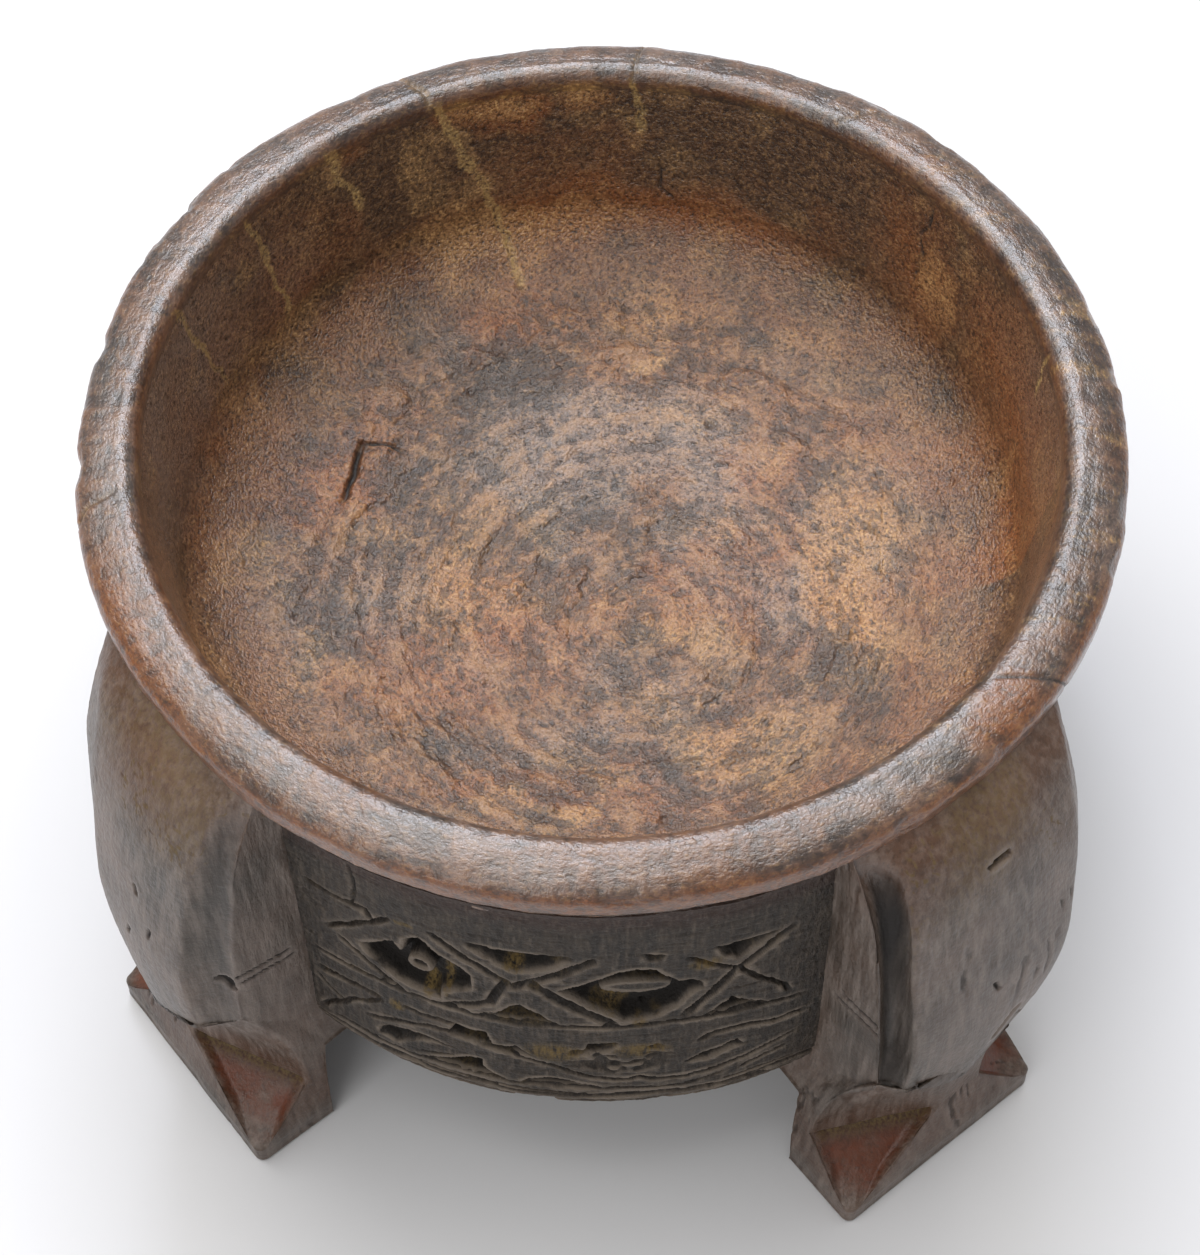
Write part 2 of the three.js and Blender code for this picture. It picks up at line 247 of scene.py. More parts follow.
def depth_inside(x, y, outline):
    """How far inside a closed outline each place lies, and less than 0 outside it."""
    apart, _ = distance_to_line(x, y, [*outline, outline[0]])
    inside = np.zeros(x.shape, bool)
    for (ax, ay), (bx, by) in zip(outline, [*outline[1:], outline[0]]):
        crosses = (ay > y) != (by > y)
        inside ^= crosses & (x < ax + (y - ay) * (bx - ax) / ((by - ay) or 1e-9))
    return np.where(inside, apart, -apart)


def oval(x, y, centre, radii):
    """1 at the middle of an oval, falling to 0 at its edge."""
    reach = ((x - centre[0]) / radii[0]) ** 2 + ((y - centre[1]) / radii[1]) ** 2
    return np.clip(1 - reach, 0, 1)


# Grids into meshes


def grid_faces(rows, columns, wrap_rows=False, wrap_columns=False):
    """Corners of a grid's four-sided faces, which face along the row step crossed with the
    column step."""
    j = np.arange(rows if wrap_rows else rows - 1)[:, None]
    i = np.arange(columns if wrap_columns else columns - 1)[None, :]
    j2, i2 = (j + 1) % rows, (i + 1) % columns
    corners = [j * columns + i, j2 * columns + i, j2 * columns + i2, j * columns + i2]
    return np.stack(np.broadcast_arrays(*corners), -1).reshape(-1, 4)


def grid_normals(points, wrap_rows=False, wrap_columns=False):
    """Direction that the grid faces at each place: its row step crossed with its column step."""

    def steps(axis, wrapped):
        if wrapped:
            return np.roll(points, -1, axis) - np.roll(points, 1, axis)
        return np.gradient(points, axis=axis)

    normals = np.cross(steps(0, wrap_rows), steps(1, wrap_columns))
    return normals / np.maximum(np.linalg.norm(normals, axis=-1, keepdims=True), 1e-12)


def blurred(values, cells, axis, wrapped=False):
    """Mean of each value and its neighbours up to that many cells away along an axis."""
    widths = [(0, 0)] * values.ndim
    widths[axis] = (cells + 1, cells)
    sums = np.cumsum(np.pad(values, widths, mode="wrap" if wrapped else "edge"), axis, dtype=np.float64)
    count = values.shape[axis]
    upper = np.take(sums, np.arange(2 * cells + 1, 2 * cells + 1 + count), axis)
    return (upper - np.take(sums, np.arange(count), axis)) / (2 * cells + 1)


def ridges(relief, cells=3, wrapped=False):
    """How far each place of a grid stands above the mean of the square of cells around it."""
    return relief - blurred(blurred(relief, cells, 0), cells, 1, wrapped)


# What the materials read: dark to pale (with painted light and shade in places), amber, pale
# fibres, greyed wood and painted sheen, sunk (cuts and cracks, with painted shade in hollows),
# raised, and straw dust
MARKS = ("tone", "warm", "pale", "grey", "hollow", "ridge", "dust")


def put_piece(name, skin, behind, faces, plain_faces, marks, material, replaced="bowl", seams=()):
    """Makes a mesh piece from a grid of places in millimetres and those behind it, with smooth faces
    and plain ones that close it, and one attribute for each mark. It rides on the bowl's one body.
    Each seam is a list of places, and the directions that the skin faces there, with the next
    piece's skin counted in."""
    points = np.concatenate([skin.reshape(-1, 3), np.reshape(behind, (-1, 3))])
    mesh = bpy.data.meshes.new(name)
    polygons = [np.asarray(face) for group in (faces, plain_faces) for face in group]
    counts = np.array([len(face) for face in polygons])
    starts = np.concatenate(([0], np.cumsum(counts)[:-1]))
    mesh.vertices.add(len(points))
    mesh.vertices.foreach_set("co", (points * MM).astype(np.float32).ravel())
    mesh.loops.add(int(counts.sum()))
    mesh.loops.foreach_set("vertex_index", np.concatenate(polygons).astype(np.int32))
    mesh.polygons.add(len(polygons))
    mesh.polygons.foreach_set("loop_start", starts.astype(np.int32))
    smooth = np.zeros(len(polygons), bool)
    smooth[: len(faces)] = True
    mesh.polygons.foreach_set("use_smooth", smooth)
    mesh.update(calc_edges=True)
    if seams:
        facing = np.zeros((len(points), 3))
        for places, directions in seams:
            facing[places] = directions
        on_skin = np.repeat(smooth, counts)[:, None]
        mesh.normals_split_custom_set(facing[np.concatenate(polygons)] * on_skin)
    for mark in MARKS:
        values = np.zeros(len(points), np.float32)
        given = np.ravel(marks.get(mark, 0))
        values[: len(given)] = given
        mesh.attributes.new(mark, "FLOAT", "POINT").data.foreach_set("value", values)
    grain = points.copy()
    if "round_grain" in marks:
        around = marks["round_grain"]
        grain[: around.size, 2] = around.ravel()
    grain = (grain * MM).astype(np.float32)
    mesh.attributes.new("grain", "FLOAT_VECTOR", "POINT").data.foreach_set("vector", grain.ravel())
    mesh.materials.append(material)
    piece = bpy.data.objects.new(name, mesh)
    bpy.context.scene.collection.objects.link(piece)
    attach(piece, "root")
    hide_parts(replaced)
    return piece


# Shape of the turned bowl


def curve(start, pull, end):
    """Quadratic curve from start to end, drawn towards pull: s(1-t)² + 2pt(1-t) + et²."""
    t = np.linspace(0, 1, 81)[:, None]
    start, pull, end = (np.array(point, float) for point in (start, pull, end))
    return start * (1 - t) ** 2 + 2 * pull * t * (1 - t) + end * t * t


def bowl_path(size):
    """The bowl's skin as radius and height along its length, from the middle of the basin, up its
    wall, over the rim and down to the underside, with the length to each named place."""
    top, rim = size.height, size.rim_radius
    lip, wall, bottom = rim - size.rim_width, rim - size.rim_overhang, size.drum_bottom
    floor, foot = top - size.basin_depth, lip - size.basin_draft
    dish = (foot - size.basin_corner, floor + size.dish_rise)
    corner = (foot, dish[1] + size.basin_corner)
    crown = (lip + 0.3 * size.rim_width, top)
    edge_top, edge_bottom = top - size.rim_fall, top - size.rim_fall - size.rim_edge
    drum_top, drum_turn = edge_bottom - size.rim_undercut, bottom + size.drum_turn
    turn_end = (wall - size.drum_tuck, bottom)
    stretches = {
        "dish": curve((0, floor), (dish[0] * 0.55, floor), dish),
        "corner": curve(dish, (foot, floor + size.dish_rise * 1.9), corner),
        "wall": np.linspace(corner, (lip, edge_top), 121),
        "lip": curve((lip, edge_top), (lip, top), crown),
        "crown": curve(crown, (rim, top - 0.15 * size.rim_fall), (rim, edge_top)),
        "edge": np.linspace((rim, edge_top), (rim, edge_bottom), 21),
        "undercut": curve((rim, edge_bottom), (wall, mix(edge_bottom, drum_top, 0.75)), (wall, drum_top)),
        "drum": np.linspace((wall, drum_top), (wall, drum_turn), 301),
        "turn": curve((wall, drum_turn), (wall, bottom + 0.35 * size.drum_turn), turn_end),
        "under": np.linspace(turn_end, (0, bottom + size.underside_hollow), 201),
    }
    corners = np.concatenate(list(stretches.values()))
    steps = np.linalg.norm(np.diff(corners, axis=0), axis=1)
    kept = np.concatenate(([True], steps > 1e-9))
    corners = corners[kept]
    reach = np.concatenate(([0], np.cumsum(steps[steps > 1e-9])))
    ends, done = {}, 0
    for name, stretch in stretches.items():
        done += np.linalg.norm(np.diff(stretch, axis=0), axis=1).sum()
        ends[name] = done
    slope = np.gradient(corners, reach, axis=0)
    facing = np.stack([-slope[:, 1], slope[:, 0]], -1)
    return SimpleNamespace(reach=reach, corners=corners, facing=facing, ends=ends)


def on_path(path, reach):
    """Radius, height and facing direction at each length along the bowl's skin."""
    radius = np.interp(reach, path.reach, path.corners[:, 0])
    height = np.interp(reach, path.reach, path.corners[:, 1])
    out = np.interp(reach, path.reach, path.facing[:, 0])
    up = np.interp(reach, path.reach, path.facing[:, 1])
    size = np.maximum(np.hypot(out, up), 1e-9)
    return radius, height, out / size, up / size


def turned(path, angle, reach, relief=0):
    """Places on the bowl's skin at an angle and a length along it, raised by relief."""
    radius, height, out, up = on_path(path, reach)
    radius, height = radius + out * relief, height + up * relief
    return np.stack(np.broadcast_arrays(radius * np.cos(angle), radius * np.sin(angle), height), -1)


RING_ROWS = 76  # rows of places on a ring's skin
BACK_ROWS = 8  # and rows that close it behind
RIM_PROUD = 0.0  # how far the relief of the rim and of the basin's wall stands out at most
QUARTER_CELLS = 280  # cells of the basin floor from side to side, and of a ring in each quarter


def ring_angles():
    """Angles round the bowl in which the rim of the basin floor's square grid lies: on each quarter
    the arc sine of even steps over the root of 2."""
    even = np.linspace(-1, 1, QUARTER_CELLS, endpoint=False)
    quarter = np.arcsin(even / math.sqrt(2))
    return np.concatenate([quarter + i * math.pi / 2 for i in range(4)])


# Basin: the places are plan views in millimetres, x to the right and y to the back

RING_CENTRE = (10, -9)  # the scraped rings run round a point off the bowl's axis
RING_SPACING = 5.4
WALL_STARTS = (58, 76)  # distances from the axis between which the floor turns into the wall
PIT_COUNT = 110
PITTED_OUT = 74  # distance from the axis that the pits reach
PITTED_UP = 105  # and height
# Corners, half-width and depth of each crack in the floor
BASIN_CRACKS = (
    ([(-54.0, 36), (-53.2, 31)], 0.4, 0.3),
    ([(-53.2, 25.6), (-53.8, 21), (-54.4, 16), (-55.2, 11)], 0.65, 2.0),
    ([(-53.2, 25.6), (-49, 26.2), (-44.5, 24.6)], 0.45, 1.0),
    ([(8.8, 48.7), (3, 37.8)], 0.5, 0.25),
    ([(-50, 43.7), (-40.3, 39.5), (-30.3, 37.8), (-20.3, 45.3)], 0.7, 0.3),
    ([(29.7, 52), (44.7, 43.7), (53, 37)], 0.7, 0.3),
    ([(62, 35), (66.3, 23.7), (70.5, 8.7), (71, -2), (73, -8)], 0.8, 0.6),
    ([(-29, 76), (-31, 70)], 0.5, 0.5),
    ([(9, 20), (9.5, 10), (12, 2)], 0.6, 0.15),
    ([(-36, 62), (-30, 55), (-22, 57)], 0.5, 0.3),
    ([(-66, -6), (-63, -20), (-58, -30)], 0.9, 0.3),
)
# Middle, radii across and back, and how dark (below 0) or pale (above 0) the wood is
BASIN_STAINS = (
    ((-38, 54), (11, 6), -1.0),
    ((-52, 43), (7, 5), -0.6),
    ((-50, -20), (13, 11), -0.7),
    ((-28, -40), (16, 7), -0.6),
    ((0, -47), (26, 6), -0.5),
    ((-70, 2), (8, 30), -0.35),
    ((48, 8), (12, 20), 0.6),
    ((30, -34), (22, 8), 0.35),
    ((-20, 66), (24, 6), -0.4),
    ((44, 60), (22, 10), -0.45),
    ((38, 6), (5, 9), -0.7),
    ((-5, -56), (5, 2), 0.9),
    ((-25, -8), (16, 18), 0.25),
    ((71, -9), (4, 6), -1.0),
    ((64, -14), (3, 4), -0.8),
    ((-6, 22), (14, 5), -0.5),
    ((-24, 40), (9, 5), -0.5),
    ((30, 40), (18, 5), -0.35),
    ((-62, 22), (4, 14), -0.5),
)
# The same for greyed wood with painted sheen, straw-coloured and red brown wood, and how much so
BASIN_GREY_AND_SHEEN = (
    ((2, 37), (36, 16), 1.2),
    ((-12, 23), (20, 9), 0.9),
    ((22, 20), (12, 13), 0.8),
    ((37, 2), (6, 14), 0.9),
    ((-38, 54), (13, 8), 0.8),
    ((60, 28), (5, 16), 0.7),
    ((-46, -14), (14, 12), 0.6),
    ((-10, -40), (22, 7), 0.5),
    ((40, 56), (20, 9), 0.4),
)
BASIN_GOLD = (
    ((48, 10), (13, 24), 0.7),
    ((54, -18), (10, 12), 0.7),
    ((30, -36), (24, 9), 0.6),
    ((-5, -56), (6, 3), 0.9),
    ((-26, -8), (18, 16), 0.45),
    ((18, -16), (14, 8), 0.4),
    ((4, 57), (4, 3), 0.9),
    ((-58, -30), (10, 14), 0.6),
    ((8, 66), (26, 5), 0.5),
)
BASIN_RUST = (
    ((-60, 30), (13, 30), 0.5),
    ((-30, 61), (20, 8), 0.9),
    ((69, 6), (9, 36), 1.0),
    ((12, 69), (46, 7), 0.7),
    ((0, -53), (48, 6), 0.6),
    ((-18, -24), (24, 9), 0.4),
    ((34, 30), (12, 10), 0.5),
    ((58, 44), (12, 12), 0.6),
)
# Angle at the lip, angle at the foot, height of the two ends, half-width, depth, paleness
WALL_CRACKS = (
    ((119, 110), (144, 97), 0.7, 0.9, 1.0),
    ((135.5, 132), (142, 124), 0.7, 0.4, 0.8),
    ((150, 147.5), (140, 110), 0.5, 0.4, 0.7),
    ((168, 162.5), (141, 112), 0.5, 0.4, 0.6),
    ((92, 90.5), (143, 129), 0.6, 0.4, 0.6),
    ((88, 86), (119, 110), 0.6, 0.5, 0.0),
    ((47, 46.5), (138, 117), 0.6, 0.6, 0.0),
    ((17, 16.5), (142, 131), 0.4, 0.3, 0.7),
)
# Angle and height, half-width in degrees and half-height, and how dark or pale; the pale oval on
# the left side is painted light. The lists after it are again for red-brown and straw-coloured
# wood, and for grey that is painted light on the wall's left and right sides.
WALL_STAINS = (
    ((127, 128), (7, 13), -1.3),
    ((107, 128), (3, 14), -0.9),
    ((143, 108), (8, 7), -0.6),
    ((92, 133), (4, 6), -0.8),
    ((75, 127), (24, 10), -0.5),
    ((62, 120), (5, 20), -0.7),
    ((40, 132), (8, 8), -0.6),
    ((44, 118), (3, 14), 0.5),
    ((27, 124), (6, 13), 0.4),
    # Painted light: this pale oval lightens the left side of the wall
    ((168, 124), (20, 20), 0.9),
    ((5, 120), (25, 24), 0.5),
    ((152, 134), (7, 6), -0.5),
)
WALL_RUST = (
    ((112, 137), (8, 8), 1.0),
    ((98, 136), (7, 7), 0.8),
    ((100, 108), (30, 8), 0.7),
    ((131, 137), (5, 7), 0.6),
    ((145, 120), (12, 18), 0.3),
    ((165, 116), (22, 18), 0.3),
    ((46, 122), (8, 20), 0.6),
    ((24, 122), (16, 20), 0.8),
    ((2, 118), (22, 24), 1.0),
    ((80, 112), (16, 6), 0.5),
)
WALL_GOLD = (
    ((113, 138), (5, 5), 1.0),
    ((97, 137), (6, 5), 0.8),
    ((119, 121), (3, 16), 0.8),
    ((134, 134), (3, 7), 0.9),
    ((150, 133), (3, 6), 0.7),
    ((90, 128), (2, 8), 0.6),
    ((110, 106), (24, 6), 0.8),
    ((148, 106), (14, 5), 0.5),
    ((44, 122), (3, 10), 0.6),
)
# Painted light: grey that lightens the wall's left and right sides
WALL_PAINTED_LIGHT = (
    ((172, 127), (32, 26), 1.1),
    ((10, 130), (26, 16), 0.5),
)
# Angle, half-width in degrees and depth of each notch in the rim's outer edge
RIM_NOTCHES = (
    (153, 2.6, 0.9), (175, 2.2, 1.3), (191, 2.5, 1.2), (128, 3.0, 1.0), (108, 6, 0.7), (70, 5, 0.5),
)
# Angle and how far the rim's outline lies inside its circle
RIM_OUTLINE = (
    (0, 0.2), (25, 0.1), (45, 0.3), (60, 0.4), (75, 1.6), (95, 2.2), (112, 2.0), (126, 1.3), (135, 0.3),
    (150, 0.2), (165, 0.4), (176, 0.8), (190, 0.6), (205, 0.3), (240, 0.4), (270, 0.1), (300, 0.3),
    (330, 0.1), (360, 0.2),
)
# Angles and distances from the axis of each crack's inner and outer end, and its paleness
RIM_CRACKS = (
    ((119, 122.5), (86, 101), 0.6),
    ((92, 91), (86, 99), 0.3),
    ((196, 199), (92, 101), 0.4),
    ((328, 333), (90, 101), 0.0),
    ((64, 60), (88, 96), 0.3),
)
# Angle and distance from the axis, half-widths, and how amber
RIM_AMBER = (
    ((325, 95), (7, 6), 1.4),
    ((215, 97), (16, 5), 0.8),
)


def stained(x, y, stains):
    """Sum of the ovals in a list of stains, each worth what it says at its middle."""
    return sum(amount * oval(x, y, centre, radii) for centre, radii, amount in stains)


def across_of(places):
    """Distance of each place from the bowl's axis."""
    return np.hypot(places[..., 0], places[..., 1])


def turn_of(angle, places):
    """Angle round the bowl at each place, from 0 to 360 degrees."""
    return np.broadcast_to(np.degrees(angle) % 360, places.shape[:2])


def scraped(plain, stroke, on_wall):
    """Relief of the basin's scraped wood, with the parts of it that are rings and grit: low hollows,
    the sine of the distance from the rings' centre, flakes along the rings, and torn fibres."""
    flat = 1 - on_wall
    relief = 0.6 * fractal(plain, 26, 4, 1) * flat + 0.35 * fractal(plain, 24, 2, 5) * on_wall
    wobble = stroke[..., 2] + 1.6 * noise(plain, 17, 9)
    rings = 0.14 * np.sin(wobble * 2 * math.pi / RING_SPACING) * step(-0.2, 0.6, noise(plain, 21, 3))
    rings += 0.11 * fractal(stroke, (15, 15, 2.4), 3, 35) + 0.2 * fractal(plain, 6.5, 2, 58)
    relief += rings * flat
    relief += 0.55 * step(0.0, 0.5, fractal(stroke, (11, 11, 5), 3, 31)) * flat
    grit = mix(0.13, 0.05, on_wall) * fractal(plain, 1.5, 2, 12)
    grit -= mix(0.16, 0.06, on_wall) * np.abs(fractal(stroke, (2.6, 2.6, 1.7), 2, 25))
    return relief + grit, rings, grit


def pitted(relief, plain):
    """Takes small round pits out of the relief, each by the bell curve of the distance to it."""
    x, y, z = np.moveaxis(plain, -1, 0)
    pits = np.random.default_rng(7)
    for _ in range(PIT_COUNT):
        turn, out = pits.uniform(0, 2 * math.pi), PITTED_OUT * math.sqrt(pits.random())
        width, deep = pits.uniform(0.35, 1.0), pits.uniform(0.2, 0.7)
        apart = (x - out * math.cos(turn)) ** 2 + (y - out * math.sin(turn)) ** 2
        relief = relief - deep * np.exp(-apart / width**2) * (z < PITTED_UP)
    return relief


def floor_cracked(relief, plain, flat):
    """Takes the floor's cracks out of the relief, and says how deep in a crack each place is."""
    wavering = plain[..., 0] + 0.5 * noise(plain, 3, 2), plain[..., 1] + 0.5 * noise(plain, 3, 4)
    cracked = np.zeros(flat.shape)
    for line, half, deep in BASIN_CRACKS:
        apart, along = distance_to_line(*wavering, line)
        ends = np.sqrt(np.clip(np.sin(along * math.pi) + 0.25, 0, 1))
        shape = np.clip(1.3 - apart / half, 0, 1) * ends * flat
        relief = relief - deep * shape
        cracked = np.maximum(cracked, shape * min(deep, 1))
    return relief, cracked


def wall_cracked(relief, plain, turn, cracked):
    """Takes the wall's cracks out of the relief, adds them to how cracked each place is, and says
    how pale the straw-filled ones make it."""
    height, across, pale = plain[..., 2], across_of(plain), np.zeros(turn.shape)
    for (from_angle, to_angle), (high, low), half, deep, chalk in WALL_CRACKS:
        part = np.clip((height - low) / (high - low), 0, 1)
        middle = mix(to_angle, from_angle, part) + 0.9 * noise(plain, 5, 6) + 0.5 * noise(plain, 1.7, 66)
        apart = np.abs(turn - middle) * math.radians(1) * across
        ends = step(low - 2, low + 2, height) * (1 - step(high - 1, high + 2, height))
        relief = relief - deep * (1 - 0.6 * chalk) * np.clip(1 - apart / half, 0, 1) * ends
        cracked = np.maximum(cracked, (1 - chalk) * np.clip(1 - apart / half, 0, 1) * ends)
        pale = np.maximum(pale, 3.0 * chalk * np.clip(1.2 - apart / (1.5 * half), 0, 1) * ends)
    return relief, cracked, pale


def basin_skin(path, angle, reach):
    """Worn inside of the basin and its marks: low hollows, rings scraped round a point off the
    axis, short strokes that run round the bowl, grit, pits and cracks, between stains, with
    painted sheen on the floor, painted light on the wall's sides, and oil darkening the upper wall
    with painted shade that is deepest at the back and front."""
    plain = turned(path, angle, reach)
    x, y, z = np.moveaxis(plain, -1, 0)
    turn = turn_of(angle, plain)
    on_wall = step(*WALL_STARTS, across_of(plain))
    flat = 1 - on_wall
    around = mix(np.hypot(x - RING_CENTRE[0], y - RING_CENTRE[1]), reach, on_wall)
    stroke = np.stack([x, y, around], -1)
    relief, rings, grit = scraped(plain, stroke, on_wall)
    relief, cracked = floor_cracked(pitted(relief, plain), plain, flat)
    relief, cracked, pale = wall_cracked(relief, plain, turn, cracked)
    rough_x, rough_y = x + 7 * fractal(plain, 13, 3, 42), y + 7 * fractal(plain, 13, 3, 46)
    rough_turn, rough_z = turn + 5 * fractal(plain, 13, 3, 48), z + 5 * fractal(plain, 13, 3, 52)

    def zones(floor_zones, wall_zones):
        on_floor = stained(rough_x, rough_y, floor_zones) * flat
        return on_floor + stained(rough_turn, rough_z, wall_zones) * on_wall

    # Painted shade: the upper wall is darker, as oil, and far darker at the back and front than at the sides
    painted_shade_front_back = 0.5 - 0.5 * np.cos(np.radians(2 * turn))
    oil_and_painted_shade = step(98, 128, z + 6 * noise(plain, 24, 45)) * mix(0.05, 1.25, painted_shade_front_back)
    smears = step(0.25, 0.75, fractal(stroke, (10, 10, 6), 4, 56))
    mottled = 0.2 + 0.6 * fractal(plain, 14, 5, 40) - 0.45 * smears
    blotches = mix(0.6, 0.3, on_wall) * step(0.0, 0.7, fractal(plain, 18, 4, 50))
    dried = 0.3 * step(0.2, 0.9, fractal(plain, 9, 3, 60))
    # Grey patches on the floor, greyed wood that also stands in for sheen: painted sheen
    grey_and_sheen = 0.4 * step(0.1, 0.8, fractal(plain, 16, 4, 64)) * flat
    relief = np.minimum(relief, mix(1.0, RIM_PROUD, on_wall))
    marks = {
        "round_grain": around,
        "ridge": np.clip(5 * grit + 3 * rings * flat + 0.12, -1, 1),
        "tone": 1.2 * zones(BASIN_STAINS, WALL_STAINS) + mottled - 0.6 * oil_and_painted_shade,
        "warm": np.clip(zones(BASIN_RUST, WALL_RUST) + blotches, 0, 1),
        "dust": 0.5 * np.clip(pale, 0, 1) * (1 - flat),
        "pale": np.clip(pale + zones(BASIN_GOLD, WALL_GOLD) + dried, 0, 1),
        # Grey: greyed wood, with painted sheen on the floor and painted light on the wall's sides
        "grey": np.clip(zones(BASIN_GREY_AND_SHEEN, WALL_PAINTED_LIGHT) + grey_and_sheen, 0, 1),
        "hollow": np.clip(cracked, 0, 1),
        "relief": relief,
    }
    return turned(path, angle, reach, relief), marks


def rim_relief(path, angle, reach, plain, stroke):
    """Relief of the handled rim and the part of it that is grit: its worn outline, soft knife
    facets, notches and chips on the outer edge, and wrinkles that run across it."""
    out, up = on_path(path, reach)[2:]
    turn, across = turn_of(angle, plain), across_of(plain)
    outward = np.clip(out, 0, 1)
    relief = -smooth_curve(*zip(*RIM_OUTLINE), turn) * outward
    facets = np.abs(noise(plain, (34, 34, 60), 2)) + 0.5 * np.abs(noise(plain, (17, 17, 40), 3))
    relief = relief - 0.7 * (facets - 0.45) * mix(0.35, 0.9, outward)
    for centre, half, deep in RIM_NOTCHES:
        apart = np.abs((turn - centre + 180) % 360 - 180)
        relief = relief - deep * np.clip(1 - apart / half, 0, 1) * step(0.25, 0.9, outward)
    chips = step(0.35, 0.7, fractal(plain, 7, 2, 15)) * step(0.3, 0.8, outward) * step(-0.3, 0.4, up)
    relief = relief - 0.35 * chips - 0.1
    wrinkles = np.stack([turn, across * 0.12, plain[..., 2] * 0.1], -1)
    grit = 0.05 * fractal(stroke, (4, 4, 0.9), 3, 12) + 0.06 * fractal(plain, 1.6, 2, 20)
    grit = grit + 0.06 * fractal(wrinkles, 0.9, 2, 26)
    return relief + grit + 0.1 * fractal(plain, 6, 2, 23), grit


def rim_cracked(relief, plain, turn, across):
    """Takes the rim's cracks out of the relief, and says how cracked and how pale each place is."""
    cracked, pale = np.zeros(across.shape), np.zeros(across.shape)
    for (start, end), (low, high), chalk in RIM_CRACKS:
        middle = mix(start, end, (across - low) / (high - low)) + 1.2 * noise(plain, 5, 8)
        apart = np.abs(turn - middle) * math.radians(1) * across
        here = step(low - 1, low + 1, across) * (1 - step(high - 1, high, across)) * (plain[..., 2] > 128)
        relief = relief - 0.5 * np.clip(1 - apart / 0.6, 0, 1) * here
        cracked = np.maximum(cracked, (1 - chalk) * np.clip(1 - apart / 0.7, 0, 1) * here)
        pale = np.maximum(pale, chalk * np.clip(1 - apart / 1.0, 0, 1) * here)
    return relief, cracked, pale


def rim_skin(path, angle, reach):
    """Handled rim and its marks: grey as painted sheen where hands polish it, painted light at the
    front and back and painted shade at the sides and under its edge, amber along its edges, with
    scratches, dark stains, and crumbs under it. At the lip it takes over the basin's marks."""
    plain = turned(path, angle, reach)
    _, _, out, up = on_path(path, reach)
    turn, across, outward = turn_of(angle, plain), across_of(plain), np.clip(out, 0, 1)
    round_grain = np.broadcast_to(reach, across.shape)
    stroke = np.stack([plain[..., 0], plain[..., 1], round_grain], -1)
    relief, grit = rim_relief(path, angle, reach, plain, stroke)
    relief, cracked, pale = rim_cracked(relief, plain, turn, across)
    # Painted light and shade: the rim is lighter at the front and back and darker at the sides
    painted_light_by_side = 0.35 * np.cos(np.radians(2 * turn - 180)) + 0.1 * np.cos(np.radians(turn - 270))
    stains = 0.8 * step(0.35, 0.6, fractal(stroke, (6, 6, 2.2), 2, 48))
    edge = step(0.45, 0.95, outward) * (1 - step(0.75, 1.0, -up))
    patch = stained(turn, across, RIM_AMBER)
    amber = edge * (0.95 + 0.4 * noise(plain, 12, 7)) + patch
    lip_line = np.exp(-(((reach - path.ends["wall"] - 1.5) / 1.6) ** 2))
    blotched = 0.3 * step(0.2, 0.8, noise(plain, 13, 57))
    scratched = np.stack([plain[..., 0] * 0.2, plain[..., 1], plain[..., 0]], -1)
    scratches = step(0.42, 0.62, fractal(scratched, (4, 2.0, 30), 2, 71))
    right_side = np.clip(np.cos(np.radians(turn - 8)) * 1.6 - 0.7, 0, 1)
    # Painted shade under the rim's edge: the undercut is darkened, except where crumbs lie
    under = step(path.ends["edge"] - 0.5, path.ends["edge"] + 3, reach)
    crumbs = under * step(0.1, 0.5, fractal(plain, 3.4, 2, 63))
    # Painted sheen: grey on the polished top stands in for its sheen
    grey_and_sheen = np.clip(0.4 + 1.0 * fractal(stroke, (13, 13, 7), 4, 61), 0, 1)
    marks = {
        "relief": relief,
        "round_grain": round_grain,
        "ridge": np.clip(8 * grit, -1, 1),
        "tone": 0.15 + 0.9 * fractal(stroke, (15, 15, 7), 3, 44) - stains + painted_light_by_side,
        "warm": np.clip(amber + 0.6 * lip_line + blotched, 0, 1),
        "pale": np.clip(pale + 0.35 * scratches * right_side + 0.4 * crumbs, 0, 1),
        "dust": 0.35 * crumbs * step(0.0, 0.5, noise(plain, 14, 65)),
        "hollow": np.clip(cracked + 0.62 * under * (1 - crumbs), 0, 1),
        "grey": grey_and_sheen * (1 - edge) * (1 - 0.8 * np.clip(patch, 0, 1)) * (1 - 0.7 * lip_line),
    }
    inside = 1 - step(path.ends["wall"], path.ends["wall"] + 4, reach)
    for mark, value in basin_skin(path, angle, reach)[1].items():
        marks[mark] = mix(marks[mark], value, inside)
    marks["relief"] = np.minimum(marks["relief"], RIM_PROUD)
    return turned(path, angle, reach, marks["relief"]), marks


def seam_facing(path, skin, reach):
    """Directions that the skin faces all round the bowl at one length along it."""
    points, _ = skin(path, ring_angles()[None, :], reach + np.array([[-0.4], [0.0], [0.4]]))
    return grid_normals(points, False, True)[1]


def ring_piece(name, path, skin, start, end, rows, size, material):
    """A closed ring between two lengths along the bowl's skin: close rows of places on the skin, and
    a few rows behind it in the wood."""
    angle = ring_angles()[None, :]
    reach = np.linspace(start, end, rows)[:, None]
    points, marks = skin(path, angle, reach)
    behind = np.linspace(end, start, BACK_ROWS)[:, None]
    back = turned(path, angle, behind, -size.shell)
    faces = grid_faces(rows + BACK_ROWS, angle.size, True, True)
    front = (rows - 1) * angle.size
    first = np.arange(angle.size)
    seams = ((first, seam_facing(path, skin, start)), (first + front, seam_facing(path, skin, end)))
    return put_piece(
        name, points, back, faces[:front], faces[front:], marks, material, seams=seams
    )


